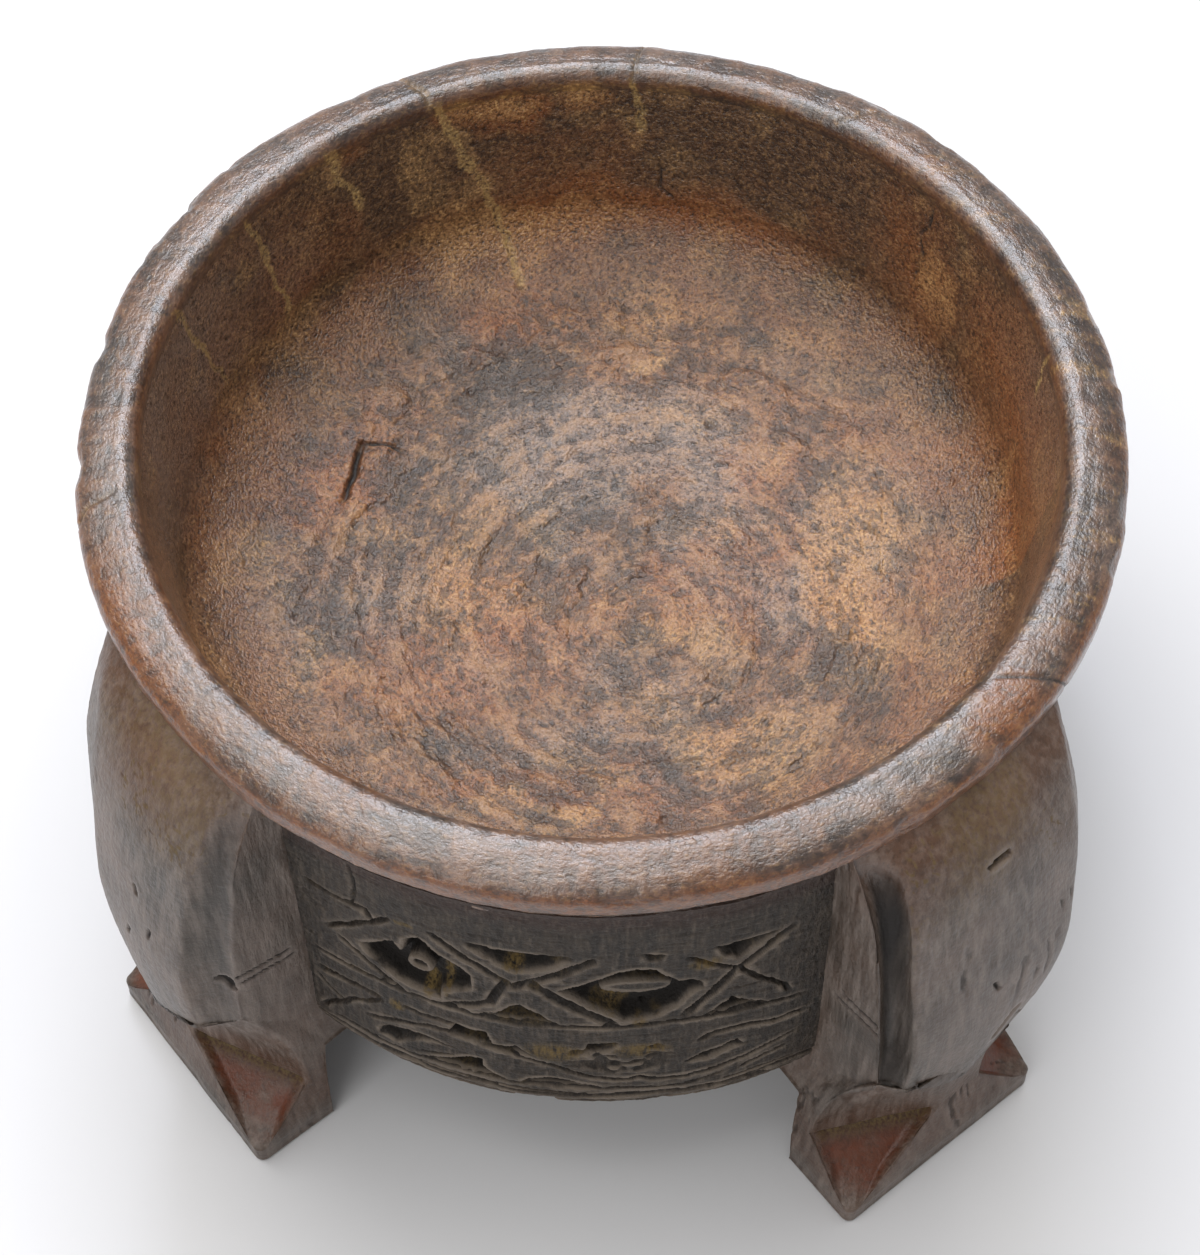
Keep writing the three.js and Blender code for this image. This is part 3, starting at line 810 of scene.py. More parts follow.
def basin_floor(path, size, edge, material):
    """The dished floor as a square grid drawn into a circle: x = a√(1 - b²/2), y = b√(1 - a²/2). It
    is closed by its rim drawn straight down and by one flat face below."""
    even = np.linspace(-1, 1, QUARTER_CELLS + 1)
    a, b = np.meshgrid(even, even)
    x, y = a * np.sqrt(1 - b * b / 2), b * np.sqrt(1 - a * a / 2)
    out = np.hypot(x, y) * on_path(path, edge)[0]
    inner = path.reach <= edge + 1
    reach = np.interp(out, path.corners[inner, 0], path.reach[inner])
    points, marks = basin_skin(path, np.arctan2(y, x), reach)
    count = QUARTER_CELLS + 1
    places = np.arange(count * count).reshape(count, count)
    rim = np.concatenate([places[0, :-1], places[:-1, -1], places[-1, :0:-1], places[:0:-1, 0]])
    below = points.reshape(-1, 3)[rim] * [0.99, 0.99, 1] - [0, 0, size.dish_rise + size.shell]
    behind = count * count + np.arange(len(rim))
    sides = np.stack([np.roll(rim, -1), rim, behind, np.roll(behind, -1)], -1)
    seams = ((rim, np.roll(seam_facing(path, basin_skin, edge), QUARTER_CELLS, 0)),)
    return put_piece(
        "basin_floor", points, below, grid_faces(count, count)[:, ::-1], [*sides, behind[::-1]],
        marks, material, seams=seams
    )


# Carving on one panel of the drum's wall: millimetres along the wall from the panel's middle, and
# height. Each recess has its outline, its share of the depth and the width of its sloping side.

RECESSES = (
    ([(-37.7, 90.5), (-33.5, 95), (-29.4, 98.8), (-28.2, 95.5), (-27.6, 97), (-27, 101.5), (-24, 104.4),
      (-20.5, 100.3), (-16, 97), (-14.2, 94.5), (-14.2, 88.5), (-17.5, 86), (-20.5, 83.5), (-21, 80.2),
      (-24.5, 80.6), (-30, 82), (-36, 87.3)], 1.0, 1.3),
    ([(2.2, 93.4), (6, 96.3), (10, 99.6), (14, 102.2), (17, 103.4), (20, 102.5), (22.3, 99.5),
      (24.8, 96.2), (26.7, 96.3), (29.6, 94), (29.7, 91.2), (27.2, 89.6), (25, 85), (20.6, 80.6),
      (17, 80.2), (14.6, 80.8), (9.3, 85.8), (6, 89)], 1.0, 1.3),
    ([(-15, 108.8), (-1, 109), (5.5, 108.3), (0.5, 102.6), (-5.4, 99.8), (-9, 102),
      (-14.5, 106.8)], 0.85, 2.0),
    ([(-14.5, 77.8), (-10, 80.3), (-7, 84.6), (-5, 86), (-2.8, 83.5), (2.2, 78.4), (-2, 77.5)], 0.8, 1.6),
    ([(31, 108.6), (44, 109), (40.5, 105.5), (36.2, 101), (33.5, 103)], 0.8, 2.0),
    ([(30, 78.6), (33.2, 82.3), (35.3, 84.9), (39, 81.2), (43, 77.4), (36, 77.6)], 0.85, 1.4),
    ([(17.6, 109), (22.5, 108.6), (21.2, 106.4), (19, 106.6)], 0.45, 0.8),
    ([(-33, 80.6), (-33.8, 77.4), (-31, 78.2), (-31.3, 80.6)], 0.45, 0.6),
    ([(-18.5, 70), (-12.3, 70), (-11.2, 64.6), (-8.5, 64.6), (-6.5, 66), (-3.6, 62.2), (-8, 61.6),
      (-13.6, 63.4), (-20.5, 64.8)], 0.8, 1.0),
    ([(6.4, 65), (7.6, 70.2), (14.2, 69.8), (12.4, 66.6), (9, 64.4)], 0.6, 0.9),
    ([(26.4, 57.8), (30, 60.6), (34, 62.2), (37.6, 63.6), (38.8, 61), (36, 60), (33, 58.4),
      (31.6, 57.2)], 0.75, 0.9),
    ([(-36.2, 50.8), (-36, 54), (-33, 57.2), (-29, 59), (-24, 59.6), (-19, 58.6), (-23.5, 57.6),
      (-27.5, 55.5), (-30, 52.5), (-32.5, 50)], 0.55, 1.0),
    ([(-26.5, 48.4), (-20, 52.5), (-16, 55.4), (-13.6, 55.9), (-14, 53), (-12, 50.2), (-8, 48.2)], 0.9, 1.0),
    ([(-6.4, 48), (-3.6, 51), (0, 52.2), (3, 52), (8, 50), (11, 48.2)], 0.8, 0.9),
    ([(-33, 45.2), (-27, 45.3), (-27.5, 43.2), (-30, 42.4)], 0.5, 0.7),
    ([(-19, 45.2), (-10, 45.2), (-11, 43.6), (-14, 43)], 0.4, 0.7),
    ([(31, 45.6), (35, 45), (36, 42.6), (32, 42.2)], 0.5, 0.7),
    ([(39, 44.2), (45, 44), (44, 41.4), (40.5, 41)], 0.55, 0.7),
)
# Islands of full height left inside the recesses: middle, radii, share of the depth that is kept
BOSSES = (
    ((-24.4, 93.3), (3.1, 3.0), 1.0),
    ((16.8, 95.2), (7.8, 3.0), 0.9),
)
# Cut lines: corners, half-width, share of the depth
GROOVES = (
    ([(-48.5, 106.6), (-42, 107), (-34.6, 107.4), (-33.4, 104.6)], 0.75, 0.9),
    ([(-30, 107.8), (-33.2, 103.6), (-36, 101), (-40, 96.6), (-44.8, 90.4)], 0.7, 0.9),
    ([(-42, 88.6), (-38, 85), (-34, 81.6), (-28.5, 77.6)], 0.85, 1.0),
    ([(-21.6, 108.2), (-18, 104.4), (-12.4, 99.4), (-7.6, 94.4), (-9.6, 88.6), (-11, 84.4),
      (-16, 80.8), (-20, 77.8)], 1.1, 1.0),
    ([(9, 107.6), (7, 105.4), (2, 100.4), (-2.6, 96.6), (-7, 92.6)], 1.1, 1.1),
    ([(-3.2, 95.6), (0.6, 91.6), (5.4, 86.4), (11, 80.6), (13, 78.6)], 1.5, 1.0),
    ([(-36.8, 124), (-36.4, 114), (-37.3, 107.4)], 0.35, 0.5),
    ([(26.2, 80.4), (29.2, 85), (32, 89.6), (35.4, 95.6), (37.6, 98.2), (40.4, 101.6), (44, 106),
      (46.6, 109)], 1.1, 1.1),
    ([(26.4, 106), (29.4, 103), (33.2, 99), (36.6, 96.2), (39.6, 92), (43, 87.6), (46, 83.4),
      (47, 79)], 0.7, 0.8),
    ([(-49, 75.9), (-42, 76.5), (-35, 77), (-26, 77), (-18, 77.2), (-6, 77.2), (6, 77.8), (16, 78),
      (24, 78.8), (33, 77.4), (43, 77), (51, 75.6)], 0.7, 0.9),
    ([(-49.5, 66.4), (-44, 68.2), (-40, 69.2), (-34.4, 69)], 0.9, 0.9),
    ([(-29.4, 69.4), (-24, 69.3), (-18.6, 69.8)], 0.7, 0.8),
    ([(29.6, 67), (31.4, 69.2), (35, 69.6), (40, 69.3), (45, 67.6), (51.5, 67.8)], 0.95, 1.1),
    ([(-34.2, 68), (-38, 64), (-41, 61.4), (-43.6, 57.6), (-47, 53), (-50.5, 48)], 0.6, 0.7),
    ([(-50, 63.4), (-47, 59.6), (-44.4, 57.6)], 0.6, 0.7),
    ([(-38.6, 56.8), (-33, 60), (-28, 63), (-24, 65), (-19.6, 66.2)], 0.7, 0.9),
    ([(-14, 63.4), (-8, 62), (-4, 60.2), (0, 58.6), (4, 56), (8, 54), (11, 52.6), (16, 52.2), (17.4, 53.4),
      (20, 51.6), (27, 51), (33, 52.5), (37, 53.6), (44, 56.4), (51.5, 59.8)], 0.65, 1.0),
    ([(-26.4, 51), (-23, 52.8), (-19.6, 54)], 0.5, 0.6),
    ([(38.6, 50), (43, 51.8), (47.4, 53)], 0.55, 0.8),
    ([(10, 48.2), (16, 47.8), (26, 47), (31, 48.4), (34.6, 50.4)], 0.45, 0.7),
    ([(35, 46.8), (40, 46.4), (50, 45.8)], 0.45, 0.6),
    ([(-47, 47.6), (-38, 47.2), (-26, 47.8), (-12, 47.8), (4, 47.9), (10, 48)], 0.4, 0.7),
    ([(-36, 45), (-20, 45.2), (0, 45.2), (18, 45.1), (30, 44.4), (42, 44.6)], 0.5, 0.9),
    ([(34.2, 88.8), (42, 88.4)], 0.25, 0.3),
)
# Middle and radii of the ovals where straw dust lies, the wood is worn, and a beetle came out
STRAW_PLACES = (
    ((-23.6, 83), (1.4, 5)),
    ((-19.6, 88), (1.2, 8)),
    ((13, 87), (3, 5)),
    ((-6, 101.5), (2.4, 2.4)),
    ((30, 102), (4, 3)),
    ((-27, 108), (3, 1.2)),
    ((17.5, 79), (2, 2)),
    ((1, 65), (7, 5)),
    ((18, 66), (7, 4)),
    ((-31, 69), (2, 3)),
)
WORN_PATCH = ((14, 63), (12, 8))
BEETLE_HOLE = ((18.2, 82.6), (0.9, 1.0))
WALL_OPEN = 54.0  # how far from its middle a panel is open to view, between the legs
CARVING_FADES = (50, 56)  # and how far from it the carving runs out
LEDGE_TOP, LEDGE_HEIGHT = 48.5, 3.6  # the notched ledges below the carving
# Each panel and its angle round the bowl, and whether it is drawn in mirror image
WALLS = (
    ("wall_front", 270, False),
    ("wall_right", 0, True),
    ("wall_back", 90, False),
    ("wall_left", 180, True),
)
FRONT_GRID, FAR_GRID = (330, 270), (240, 200)  # places along and up the panel in view, and the others
WALL_AMBER = (117, 124)  # heights between which the wall takes on the amber of the rim


def carved(along, height, size):
    """Depth of the carving at each place of a panel: the deepest of its recesses, which slope down
    from their outlines, and its V-shaped cut lines."""
    depth = np.zeros(along.shape)
    for outline, share, slope in RECESSES:
        inside = depth_inside(along, height, outline)
        depth = np.maximum(depth, share * size.recess_depth * np.clip(inside / slope, 0, 1) ** 0.8)
    for centre, radii, kept in BOSSES:
        island = oval(along, height, centre, radii)
        depth *= 1 - kept * step(0.0, 0.35, island)
    dimple = oval(along, height, BOSSES[0][0], (1.7, 1.6))
    depth = np.maximum(depth, 0.35 * size.recess_depth * step(0, 0.6, dimple))
    for line, half, share in GROOVES:
        apart, place = distance_to_line(along, height, line)
        fade = np.clip(np.minimum(place, 1 - place) * 14 + 0.3, 0, 1)
        cut = np.clip(1 - apart / (half * (0.6 + 0.4 * fade)), 0, 1)
        depth = np.maximum(depth, share * size.groove_depth * np.sqrt(cut) * fade)
    hole = oval(along, height, *BEETLE_HOLE)
    return np.maximum(depth, 1.3 * size.recess_depth * step(0, 0.4, hole))


def wall_relief(flat_place, drawn, plain, size, layer):
    """Relief of a panel, with the depth of its carving and where its lower edge is broken away:
    wavering cuts, a worn patch, ledges by the sine of the height, and grit. The far panels waver
    more."""
    along, height = flat_place[..., 0], flat_place[..., 1]
    shift, lift = (0.28 * fractal(flat_place, 3.2, 2, layer + i) for i in (0, 5))
    if layer:
        shift = shift + 0.9 * noise(flat_place, 19, layer)
        lift = lift + 0.9 * noise(flat_place, 23, layer + 3)
    fade = step(-CARVING_FADES[1], -CARVING_FADES[0], along) * (1 - step(*CARVING_FADES, along))
    depth = carved(drawn + shift, height + lift, size) * fade
    torn = 1.1 * step(-0.1, 0.6, fractal(flat_place, (5, 2.4, 9), 3, layer + 8))
    relief = -depth - torn * step(0, 0.5, oval(drawn, height, *WORN_PATCH))
    ledge = height + 0.8 * noise(flat_place, (9, 3, 9), layer + 2)
    ledges = step(0, 1, np.sin((LEDGE_TOP - ledge) * 2 * math.pi / LEDGE_HEIGHT) * 2)
    relief -= 0.9 * ledges * (1 - step(44.2, 45.4, ledge))
    broken = step(0.05, 0.2, noise(flat_place * [1, 0, 1], 8, layer + 4)) * (1 - step(38.5, 40, height))
    relief -= 2.2 * broken
    relief += 0.25 * fractal(flat_place, 14, 3, layer + 11) + 0.07 * fractal(plain, (0.9, 0.9, 5), 3, 14)
    relief += (0.05 + 0.14 * step(0.3, 1.5, depth)) * fractal(plain, 1.1, 2, 17)
    scratches = 0.16 * step(0.2, 0.6, fractal(flat_place, (7, 1.4, 9), 2, layer + 21))
    return relief - scratches * (1 - step(0.1, 0.6, depth)), depth, broken


def wall_panel(name, path, size, turn, flip, grid, layer, material):
    """A quarter of the drum's carved wall: a grid over the length along the wall and the length
    along the bowl's skin, fine where it is open to view and coarse behind the legs."""
    wall = size.rim_radius - size.rim_overhang
    hidden = np.linspace(WALL_OPEN, math.pi / 4 * wall, 5)[1:]
    along = np.concatenate([-hidden[::-1], np.linspace(-WALL_OPEN, WALL_OPEN, grid[0]), hidden])[None, :]
    start, end = path.ends["undercut"] - 5.5, path.ends["turn"] + 1.5
    reach = np.linspace(start, end, grid[1])[:, None]
    angle = math.radians(turn) + along / wall
    plain = turned(path, angle, reach)
    drum_top = size.height - size.rim_fall - size.rim_edge - size.rim_undercut
    height = drum_top - (reach - path.ends["undercut"])
    flat_place = np.stack(np.broadcast_arrays(along, height, 13.0 * layer), -1)
    drawn, height = (-1 if flip else 1) * flat_place[..., 0], flat_place[..., 1]
    relief, depth, broken = wall_relief(flat_place, drawn, plain, size, layer)
    straw = sum(oval(drawn, height, centre, radii) for centre, radii in STRAW_PLACES)
    dusty = 0.35 * step(0.2, 0.8, fractal(plain, 6, 2, 37)) * step(0.2, 0.8, depth)
    rubbed = 1.1 + 1.2 * noise(flat_place, (6, 3, 9), layer + 24)
    marks = {
        # Painted shade: darker by the depth of the carving and where the lower edge is broken away
        "hollow": np.clip(1.5 * depth / size.recess_depth + 0.5 * broken, 0, 1),
        "ridge": np.clip(ridges(relief, 4) * rubbed, -1, 1),
        "tone": 0.5 * fractal(plain, (9, 9, 26), 3, 33),
        "warm": 0.9 * step(*WALL_AMBER, height),
        "dust": np.clip(straw + dusty, 0, 1),
    }
    back = turned(path, angle, np.array([[end], [start]]), -2 * size.shell)
    rows, columns = reach.size, along.size
    faces = grid_faces(rows + 2, columns, True, False)
    front = (rows - 1) * (columns - 1)
    side = np.arange(rows + 2) * columns
    closing = [*faces[front:], side, (side + columns - 1)[::-1]]
    points = turned(path, angle, reach, relief)
    return put_piece(name, points, back, faces[:front], closing, marks, material)


def underside_piece(path, size, material):
    """The drum's underside: rings of places from the lower edge to the middle, left rough by the
    adze, and closed by a plain layer above them."""
    start, end = path.ends["turn"] - 1.0, path.ends["under"] - 0.5
    rows, columns = 90, 240
    angle = np.linspace(0, 2 * math.pi, columns, endpoint=False)[None, :]
    reach = np.linspace(start, end, rows)[:, None]
    plain = turned(path, angle, reach)
    scallops = np.abs(noise(plain * [1, 1, 0], (11, 7, 9), 3))
    relief = -0.9 * scallops + 0.12 * fractal(plain, (2.5, 2.5, 9), 3, 5) - 0.4
    points = turned(path, angle, reach, relief)
    back = turned(path, angle, np.array([[end], [start]]), -1.2 * size.shell)
    faces = grid_faces(rows + 2, columns, True, True)
    front = (rows - 1) * columns
    marks = {
        "tone": 0.5 * fractal(plain, 20, 3, 9) - 0.2,
        "hollow": 0.15 + 0.3 * scallops,
        "ridge": ridges(relief),
    }
    return put_piece("underside", points, back, faces[:front], faces[front:], marks, material)


# Legs. The near side is the one that faces the front, and lies at negative places across. Each
# edge of the shaft has its places at the knots' heights: out from the wall, and across.

SHAFT_HEIGHTS = (61, 70, 80, 102, 125, 132, 138.2)
PLAIN_SHAFT = (
    ((15.8, 15.2, 14.2, 11.5, 7.8, 6.0, 3.8), (-20.0, -20.0, -20.2, -20.4, -21.2, -21.6, -22.2)),
    ((21.0, 21.3, 21.1, 17.8, 12.4, 9.4, 4.0), (-17.4, -17.8, -18.0, -17.6, -15.8, -15.0, -14.8)),
    ((22.0, 22.7, 22.8, 19.2, 13.2, 9.8, 4.0), (13.8, 16.8, 19.6, 22.5, 24.0, 25.6, 27.0)),
    ((15.0, 14.8, 14.4, 12.2, 8.6, 6.4, 3.8), (25.6, 26.6, 27.4, 28.2, 28.6, 28.8, 29.0)),
)
MIRRORED_SHAFT = (
    ((14.6, 14.6, 13.9, 11.2, 7.6, 5.9, 3.8), (-22.2, -22.4, -22.5, -22.7, -22.9, -23.0, -23.0)),
    ((22.0, 22.7, 22.8, 18.9, 12.6, 9.4, 4.0), (-17.0, -17.2, -17.4, -17.8, -18.4, -18.6, -19.0)),
    ((21.8, 22.5, 22.6, 19.0, 12.9, 9.6, 4.0), (8.0, 8.6, 9.8, 12.2, 14.6, 17.0, 20.5)),
    ((15.0, 14.8, 14.4, 12.2, 8.4, 6.4, 3.8), (23.6, 24.2, 24.4, 24.2, 23.8, 23.8, 24.4)),
)
# Edges at the top of the chamfer stops, and where the two ridges of the neck run out at the arris
PLAIN_NECK = ((4.6, -24.9), (17.4, 0.4), (17.4, 11.6), (4.8, 24.9))
MIRRORED_NECK = ((4.6, -24.9), (17.4, 2.0), (17.4, 12.4), (4.8, 24.9))
RIDGE_ENDS = (4.0, 10.0)
# Place across the arris, and how far it lies above or below its mean height there
PLAIN_ARRIS = (
    (-20, -3), (-17.4, 0.5), (-15, 0.5), (-10, -4), (-3, -8.5), (3, -3), (7, -1), (13, -0.5), (26, -1),
)
MIRRORED_ARRIS = ((-22, -2), (-17, -2), (-10, -6), (-3, -11), (3, -9), (7, -8), (24, -6))
SECTION_STEPS = (34, 44, 78, 38, 30, 8)  # columns of near side, chamfer, face, chamfer, far side, back
LEG_ROOT = 9  # how far the shaft runs in behind the wall
ROOT_AT_RIM = 4  # and how far near the rim, where the basin's wall is close behind it
FOOT_ROUNDING = 2.2  # radius of the foot's corners, seen from above
# Depth of the flute in each leg's near chamfer
FLUTE = {"front_right_leg": 4.6, "front_left_leg": 1.8, "back_left_leg": 2.4, "back_right_leg": 1.6}
# How soft each edge is, from 0 to 1: near side, near face, far face, far side
SOFT_EDGES = {False: (0.0, 1.0, 0.8, 0.6), True: (0.6, 1.0, 0.7, 0.5)}


def leg_levels(size):
    """Heights of a leg's levels, closer together at its edges."""
    arris = size.arris_height
    return np.concatenate(
        [
            np.linspace(0, size.foot_bevel, 4),
            np.linspace(size.foot_bevel, size.foot_corner, 11)[1:],
            np.linspace(size.foot_corner, size.neck_height, 35)[1:],
            np.linspace(size.neck_height, arris - 1, 82)[1:],
            np.linspace(arris - 1, arris, 5)[1:],
            np.linspace(arris, size.leg_top, 156)[1:],
        ]
    )


def section(edges, root, part, place):
    """Places out and across of a leg's columns, in straight lines between its edges' places."""
    corners = [(root, edges[0][1]), *edges, (root, edges[3][1])]
    outs = np.stack(np.broadcast_arrays(*[corner[0] for corner in corners], corners[0][0]), 0)
    acrosses = np.stack(np.broadcast_arrays(*[corner[1] for corner in corners], corners[0][1]), 0)
    outs, acrosses = outs[..., 0], acrosses[..., 0]
    out = mix(outs[part].T, outs[part + 1].T, place)
    return out, mix(acrosses[part].T, acrosses[part + 1].T, place)


def shaft_section(knots, size, level, part, place):
    """The shaft above the arris: its edges through their knots, and a crowned outer face."""
    edges = [[smooth_curve(SHAFT_HEIGHTS, values, level) for values in edge] for edge in knots]
    out, across = section(edges, -mix(LEG_ROOT, ROOT_AT_RIM, step(100, 125, level)), part, place)
    crown = 1.7 * (1 - (2 * place - 1) ** 2) * (part == 2)
    return out + crown * (1 - 0.95 * step(122, size.leg_top, level)), across


def stop_share(size, level):
    """How far up the chamfer stops each level lies, from 0 at their foot to 1 at their top."""
    return np.clip((level - size.foot_corner) / (size.neck_height - size.foot_corner), 0, 1)


def foot_section(knots, size, level, part, place):
    """The leg below the arris: square at the foot, in to the neck over the chamfer stops, then out
    again by the square of the height until it takes the shaft's form, a little inside it."""
    rise = np.clip((level - size.neck_height) / (size.arris_height - size.neck_height), 0, 1)
    stop = stop_share(size, level)
    arris = np.full((1, 1), float(size.arris_height))
    arris_out, arris_across = shaft_section(knots, size, arris, part, place)
    chamfered = (part > 0) & (part < 4)
    on_arris = arris_across[0, chamfered], arris_out[0, chamfered]
    square, round_corner = size.foot_length / 2, FOOT_ROUNDING
    inner, outer = (size.foot_reach - round_corner, square), (size.foot_reach, square - round_corner)
    neck = MIRRORED_NECK if knots is MIRRORED_SHAFT else PLAIN_NECK
    near_end, far_end = ((knots[i][0][0], knots[i][1][0]) for i in (0, 3))
    ends = [near_end, *[(np.interp(across, *on_arris), across) for across in RIDGE_ENDS], far_end]
    edges = []
    corners = (inner[0], -inner[1]), (outer[0], -outer[1]), outer, inner
    for (foot_out, foot_across), (neck_out, neck_across), (end_out, end_across) in zip(corners, neck, ends):
        out = mix(foot_out, mix(neck_out, end_out, rise**2), stop)
        edges.append((out, mix(foot_across, mix(neck_across, end_across, rise), stop)))
    lower = np.clip((level - size.foot_corner) / (size.drum_bottom - size.foot_corner), 0, 1)
    root = mix(size.foot_reach - size.foot_depth, -1.5, lower)
    root = mix(root, -LEG_ROOT, step(size.drum_bottom + 0.5, size.drum_bottom + 2.5, level))
    out, across = section(edges, root, part, place)
    swell = (1 - stop) * round_corner * 0.83 * place * (1 - place)
    out = out + swell * ((part == 1) | (part == 3))
    across = across + swell * np.select([part == 3, part == 1], [1.0, -1.0], 0.0)
    end_edges = [(np.full((1, 1), float(o)), np.full((1, 1), float(a))) for o, a in ends]
    chord_out, chord_across = section(end_edges, np.full((1, 1), -float(LEG_ROOT)), part, place)
    bulge = np.where(chamfered, np.interp(chord_across, *on_arris) - chord_out, 0)
    inset = 0.5 * step(size.arris_height, size.arris_height - 1, level) * step(0.1, 0.9, rise)
    return out + rise**2 * bulge - inset * chamfered, across


def softened(out, across, softness, amount):
    """Rounds each edge of a leg's section by the mean of the columns near it."""
    column = np.arange(out.shape[1])
    starts = np.cumsum(SECTION_STEPS)[:4]
    share = sum(soft * np.exp(-(((column - start) / 6) ** 2)) for soft, start in zip(softness, starts))
    share = np.clip(share, 0, 1) * amount
    return mix(out, blurred(out, 6, 1, True), share), mix(across, blurred(across, 6, 1, True), share)


def arris_shift(mirrored, size, level, part, shaft, foot):
    """How far the arris and the levels near it are drawn up or down in each column: by its knots
    across the face, and falling towards the wall on both sides. The rows above it go by the shaft's
    columns at the arris, and those below it by the foot's."""
    row = np.argmin(np.abs(level - size.arris_height))
    shifts = []
    for out, across in ((shaft[0][row], shaft[1][row]), (foot[0][row], foot[1][row])):
        shift = np.interp(across, *zip(*(MIRRORED_ARRIS if mirrored else PLAIN_ARRIS)))
        for side, edge in ((0, SECTION_STEPS[0]), (4, sum(SECTION_STEPS[:4]))):
            falling = np.maximum(shift - 1.25 * (out[edge] - out), -16)
            shift = np.where(part == side, falling, shift)
        shifts.append(np.where(part == 5, -16, shift))
    shift = np.where(level >= size.arris_height, *shifts)
    near = np.where(
        level >= size.arris_height,
        1 - step(size.arris_height, size.arris_height + 46, level),
        step(size.neck_height + 3, size.arris_height, level),
    )
    return shift * near


def leg_form(flute_depth, mirrored, size):
    """A leg before its wear: at each height a section of near side, chamfer, outer face, chamfer and
    far side between its edges, with a flute in the near chamfer and sunk chamfer stops. It gives
    the places out from the wall, across and up, and what the marks go by."""
    knots = MIRRORED_SHAFT if mirrored else PLAIN_SHAFT
    level = leg_levels(size)[::-1, None]
    part = np.repeat(np.arange(6), SECTION_STEPS)
    place = np.concatenate([np.linspace(0, 1, steps, endpoint=False) for steps in SECTION_STEPS])
    shaft, foot = (form(knots, size, level, part, place) for form in (shaft_section, foot_section))
    above = level >= size.arris_height
    out, across = (np.where(above, high, low) for high, low in zip(shaft, foot))
    stop = stop_share(size, level)
    out, across = softened(out, across, SOFT_EDGES[mirrored], mix(0.25, 1, step(0, 1, stop)))
    out = out - across**2 / (2 * size.rim_radius) * step(112, size.leg_top, level)
    shaded = above * (1 - step(126, 137, level)) * (part == 1) * 2.2 * np.sqrt(place) * (1 - place) ** 1.2
    flute = flute_depth * shaded * mix(0.3, 1, step(size.arris_height, size.arris_height + 12, level))
    sides = step(0, 0.09, place) * step(0, 0.09, 1 - place) * ((part == 1) | (part == 3))
    pocket = step(0.02, 0.35, stop) * (1 - step(0.9, 1, stop)) * sides
    cut = size.stop_depth * pocket * math.sqrt(0.5)
    out, across = out - cut - 0.55 * flute, across + cut * np.where(part == 1, 1, -1) + 0.83 * flute
    bevel = size.foot_bevel * (1 - np.sqrt(1 - np.clip(1 - level / size.foot_bevel, 0, 1) ** 2))
    outer = np.select([part == 0, part == 4, part == 5], [place, 1 - place, 0], 1)
    out, across = out - bevel * outer, across - bevel * np.sign(across)
    height = level + arris_shift(mirrored, size, level, part, shaft, foot)
    return SimpleNamespace(
        out=out, across=across, height=height, level=level, part=part, place=place,
        above=above, stop=stop, pocket=pocket,
    )


# Marks on the legs: which face, two ends as (across or out, height), half-width, depth and straw
LEG_CUTS = {
    "front_right_leg": (
        (0, (1.5, 77.0), (15.6, 79.2), 0.45, 0.5, 0),
        (0, (3.2, 80.8), (16, 82.8), 0.45, 0.5, 0),
        (2, (7.6, 71), (3.4, 63.4), 1.1, 2.2, 1),
        (2, (0.8, 88.4), (1.6, 86), 0.5, 1.0, 0),
        (2, (1.6, 124.0), (5.8, 124.4), 0.7, 2.0, 0.4),
        (2, (9, 66), (12, 61.5), 0.5, 1.6, 0),
        (2, (11.5, 62), (9.5, 57), 0.5, 1.4, 0),
    ),
    "front_left_leg": (
        (0, (-0.6, 72.4), (12.0, 75.4), 0.45, 0.5, 0),
        (0, (1.0, 75.6), (13.0, 78.8), 0.45, 0.5, 0),
        (1, (-20.5, 78), (-21.8, 74), 0.9, 1.2, 0),
        (2, (-4.0, 99.4), (-4.6, 97.6), 0.6, 1.2, 0),
        (2, (-1.9, 82), (-1.0, 79), 0.5, 0.8, 0),
        (2, (-9, 90), (-8.4, 87), 0.45, 0.8, 0),
        (2, (3, 66), (1, 62), 0.4, 0.8, 0),
        (2, (6, 72), (5, 67), 0.4, 0.8, 0),
    ),
}


def leg_cuts(name, leg, plain, relief, hollow):
    """Takes a leg's scratches, splits and holes out of its relief, and says how hollow each place is
    and which of them are filled with straw."""
    straw = np.zeros(relief.shape)
    for face, start, end, half, deep, filled in LEG_CUTS.get(name, ()):
        sidelong = leg.out if face == 0 else leg.across
        apart, _ = distance_to_line(sidelong + 0.3 * noise(plain, 2, 3), plain[..., 2], [start, end])
        shape = np.clip(1 - apart / half, 0, 1) * (leg.part == face)
        relief = relief - deep * np.sqrt(shape)
        hollow = np.maximum(hollow, step(0, 0.6, shape))
        straw = np.maximum(straw, filled * step(0, 0.3, shape))
    return relief, hollow, straw


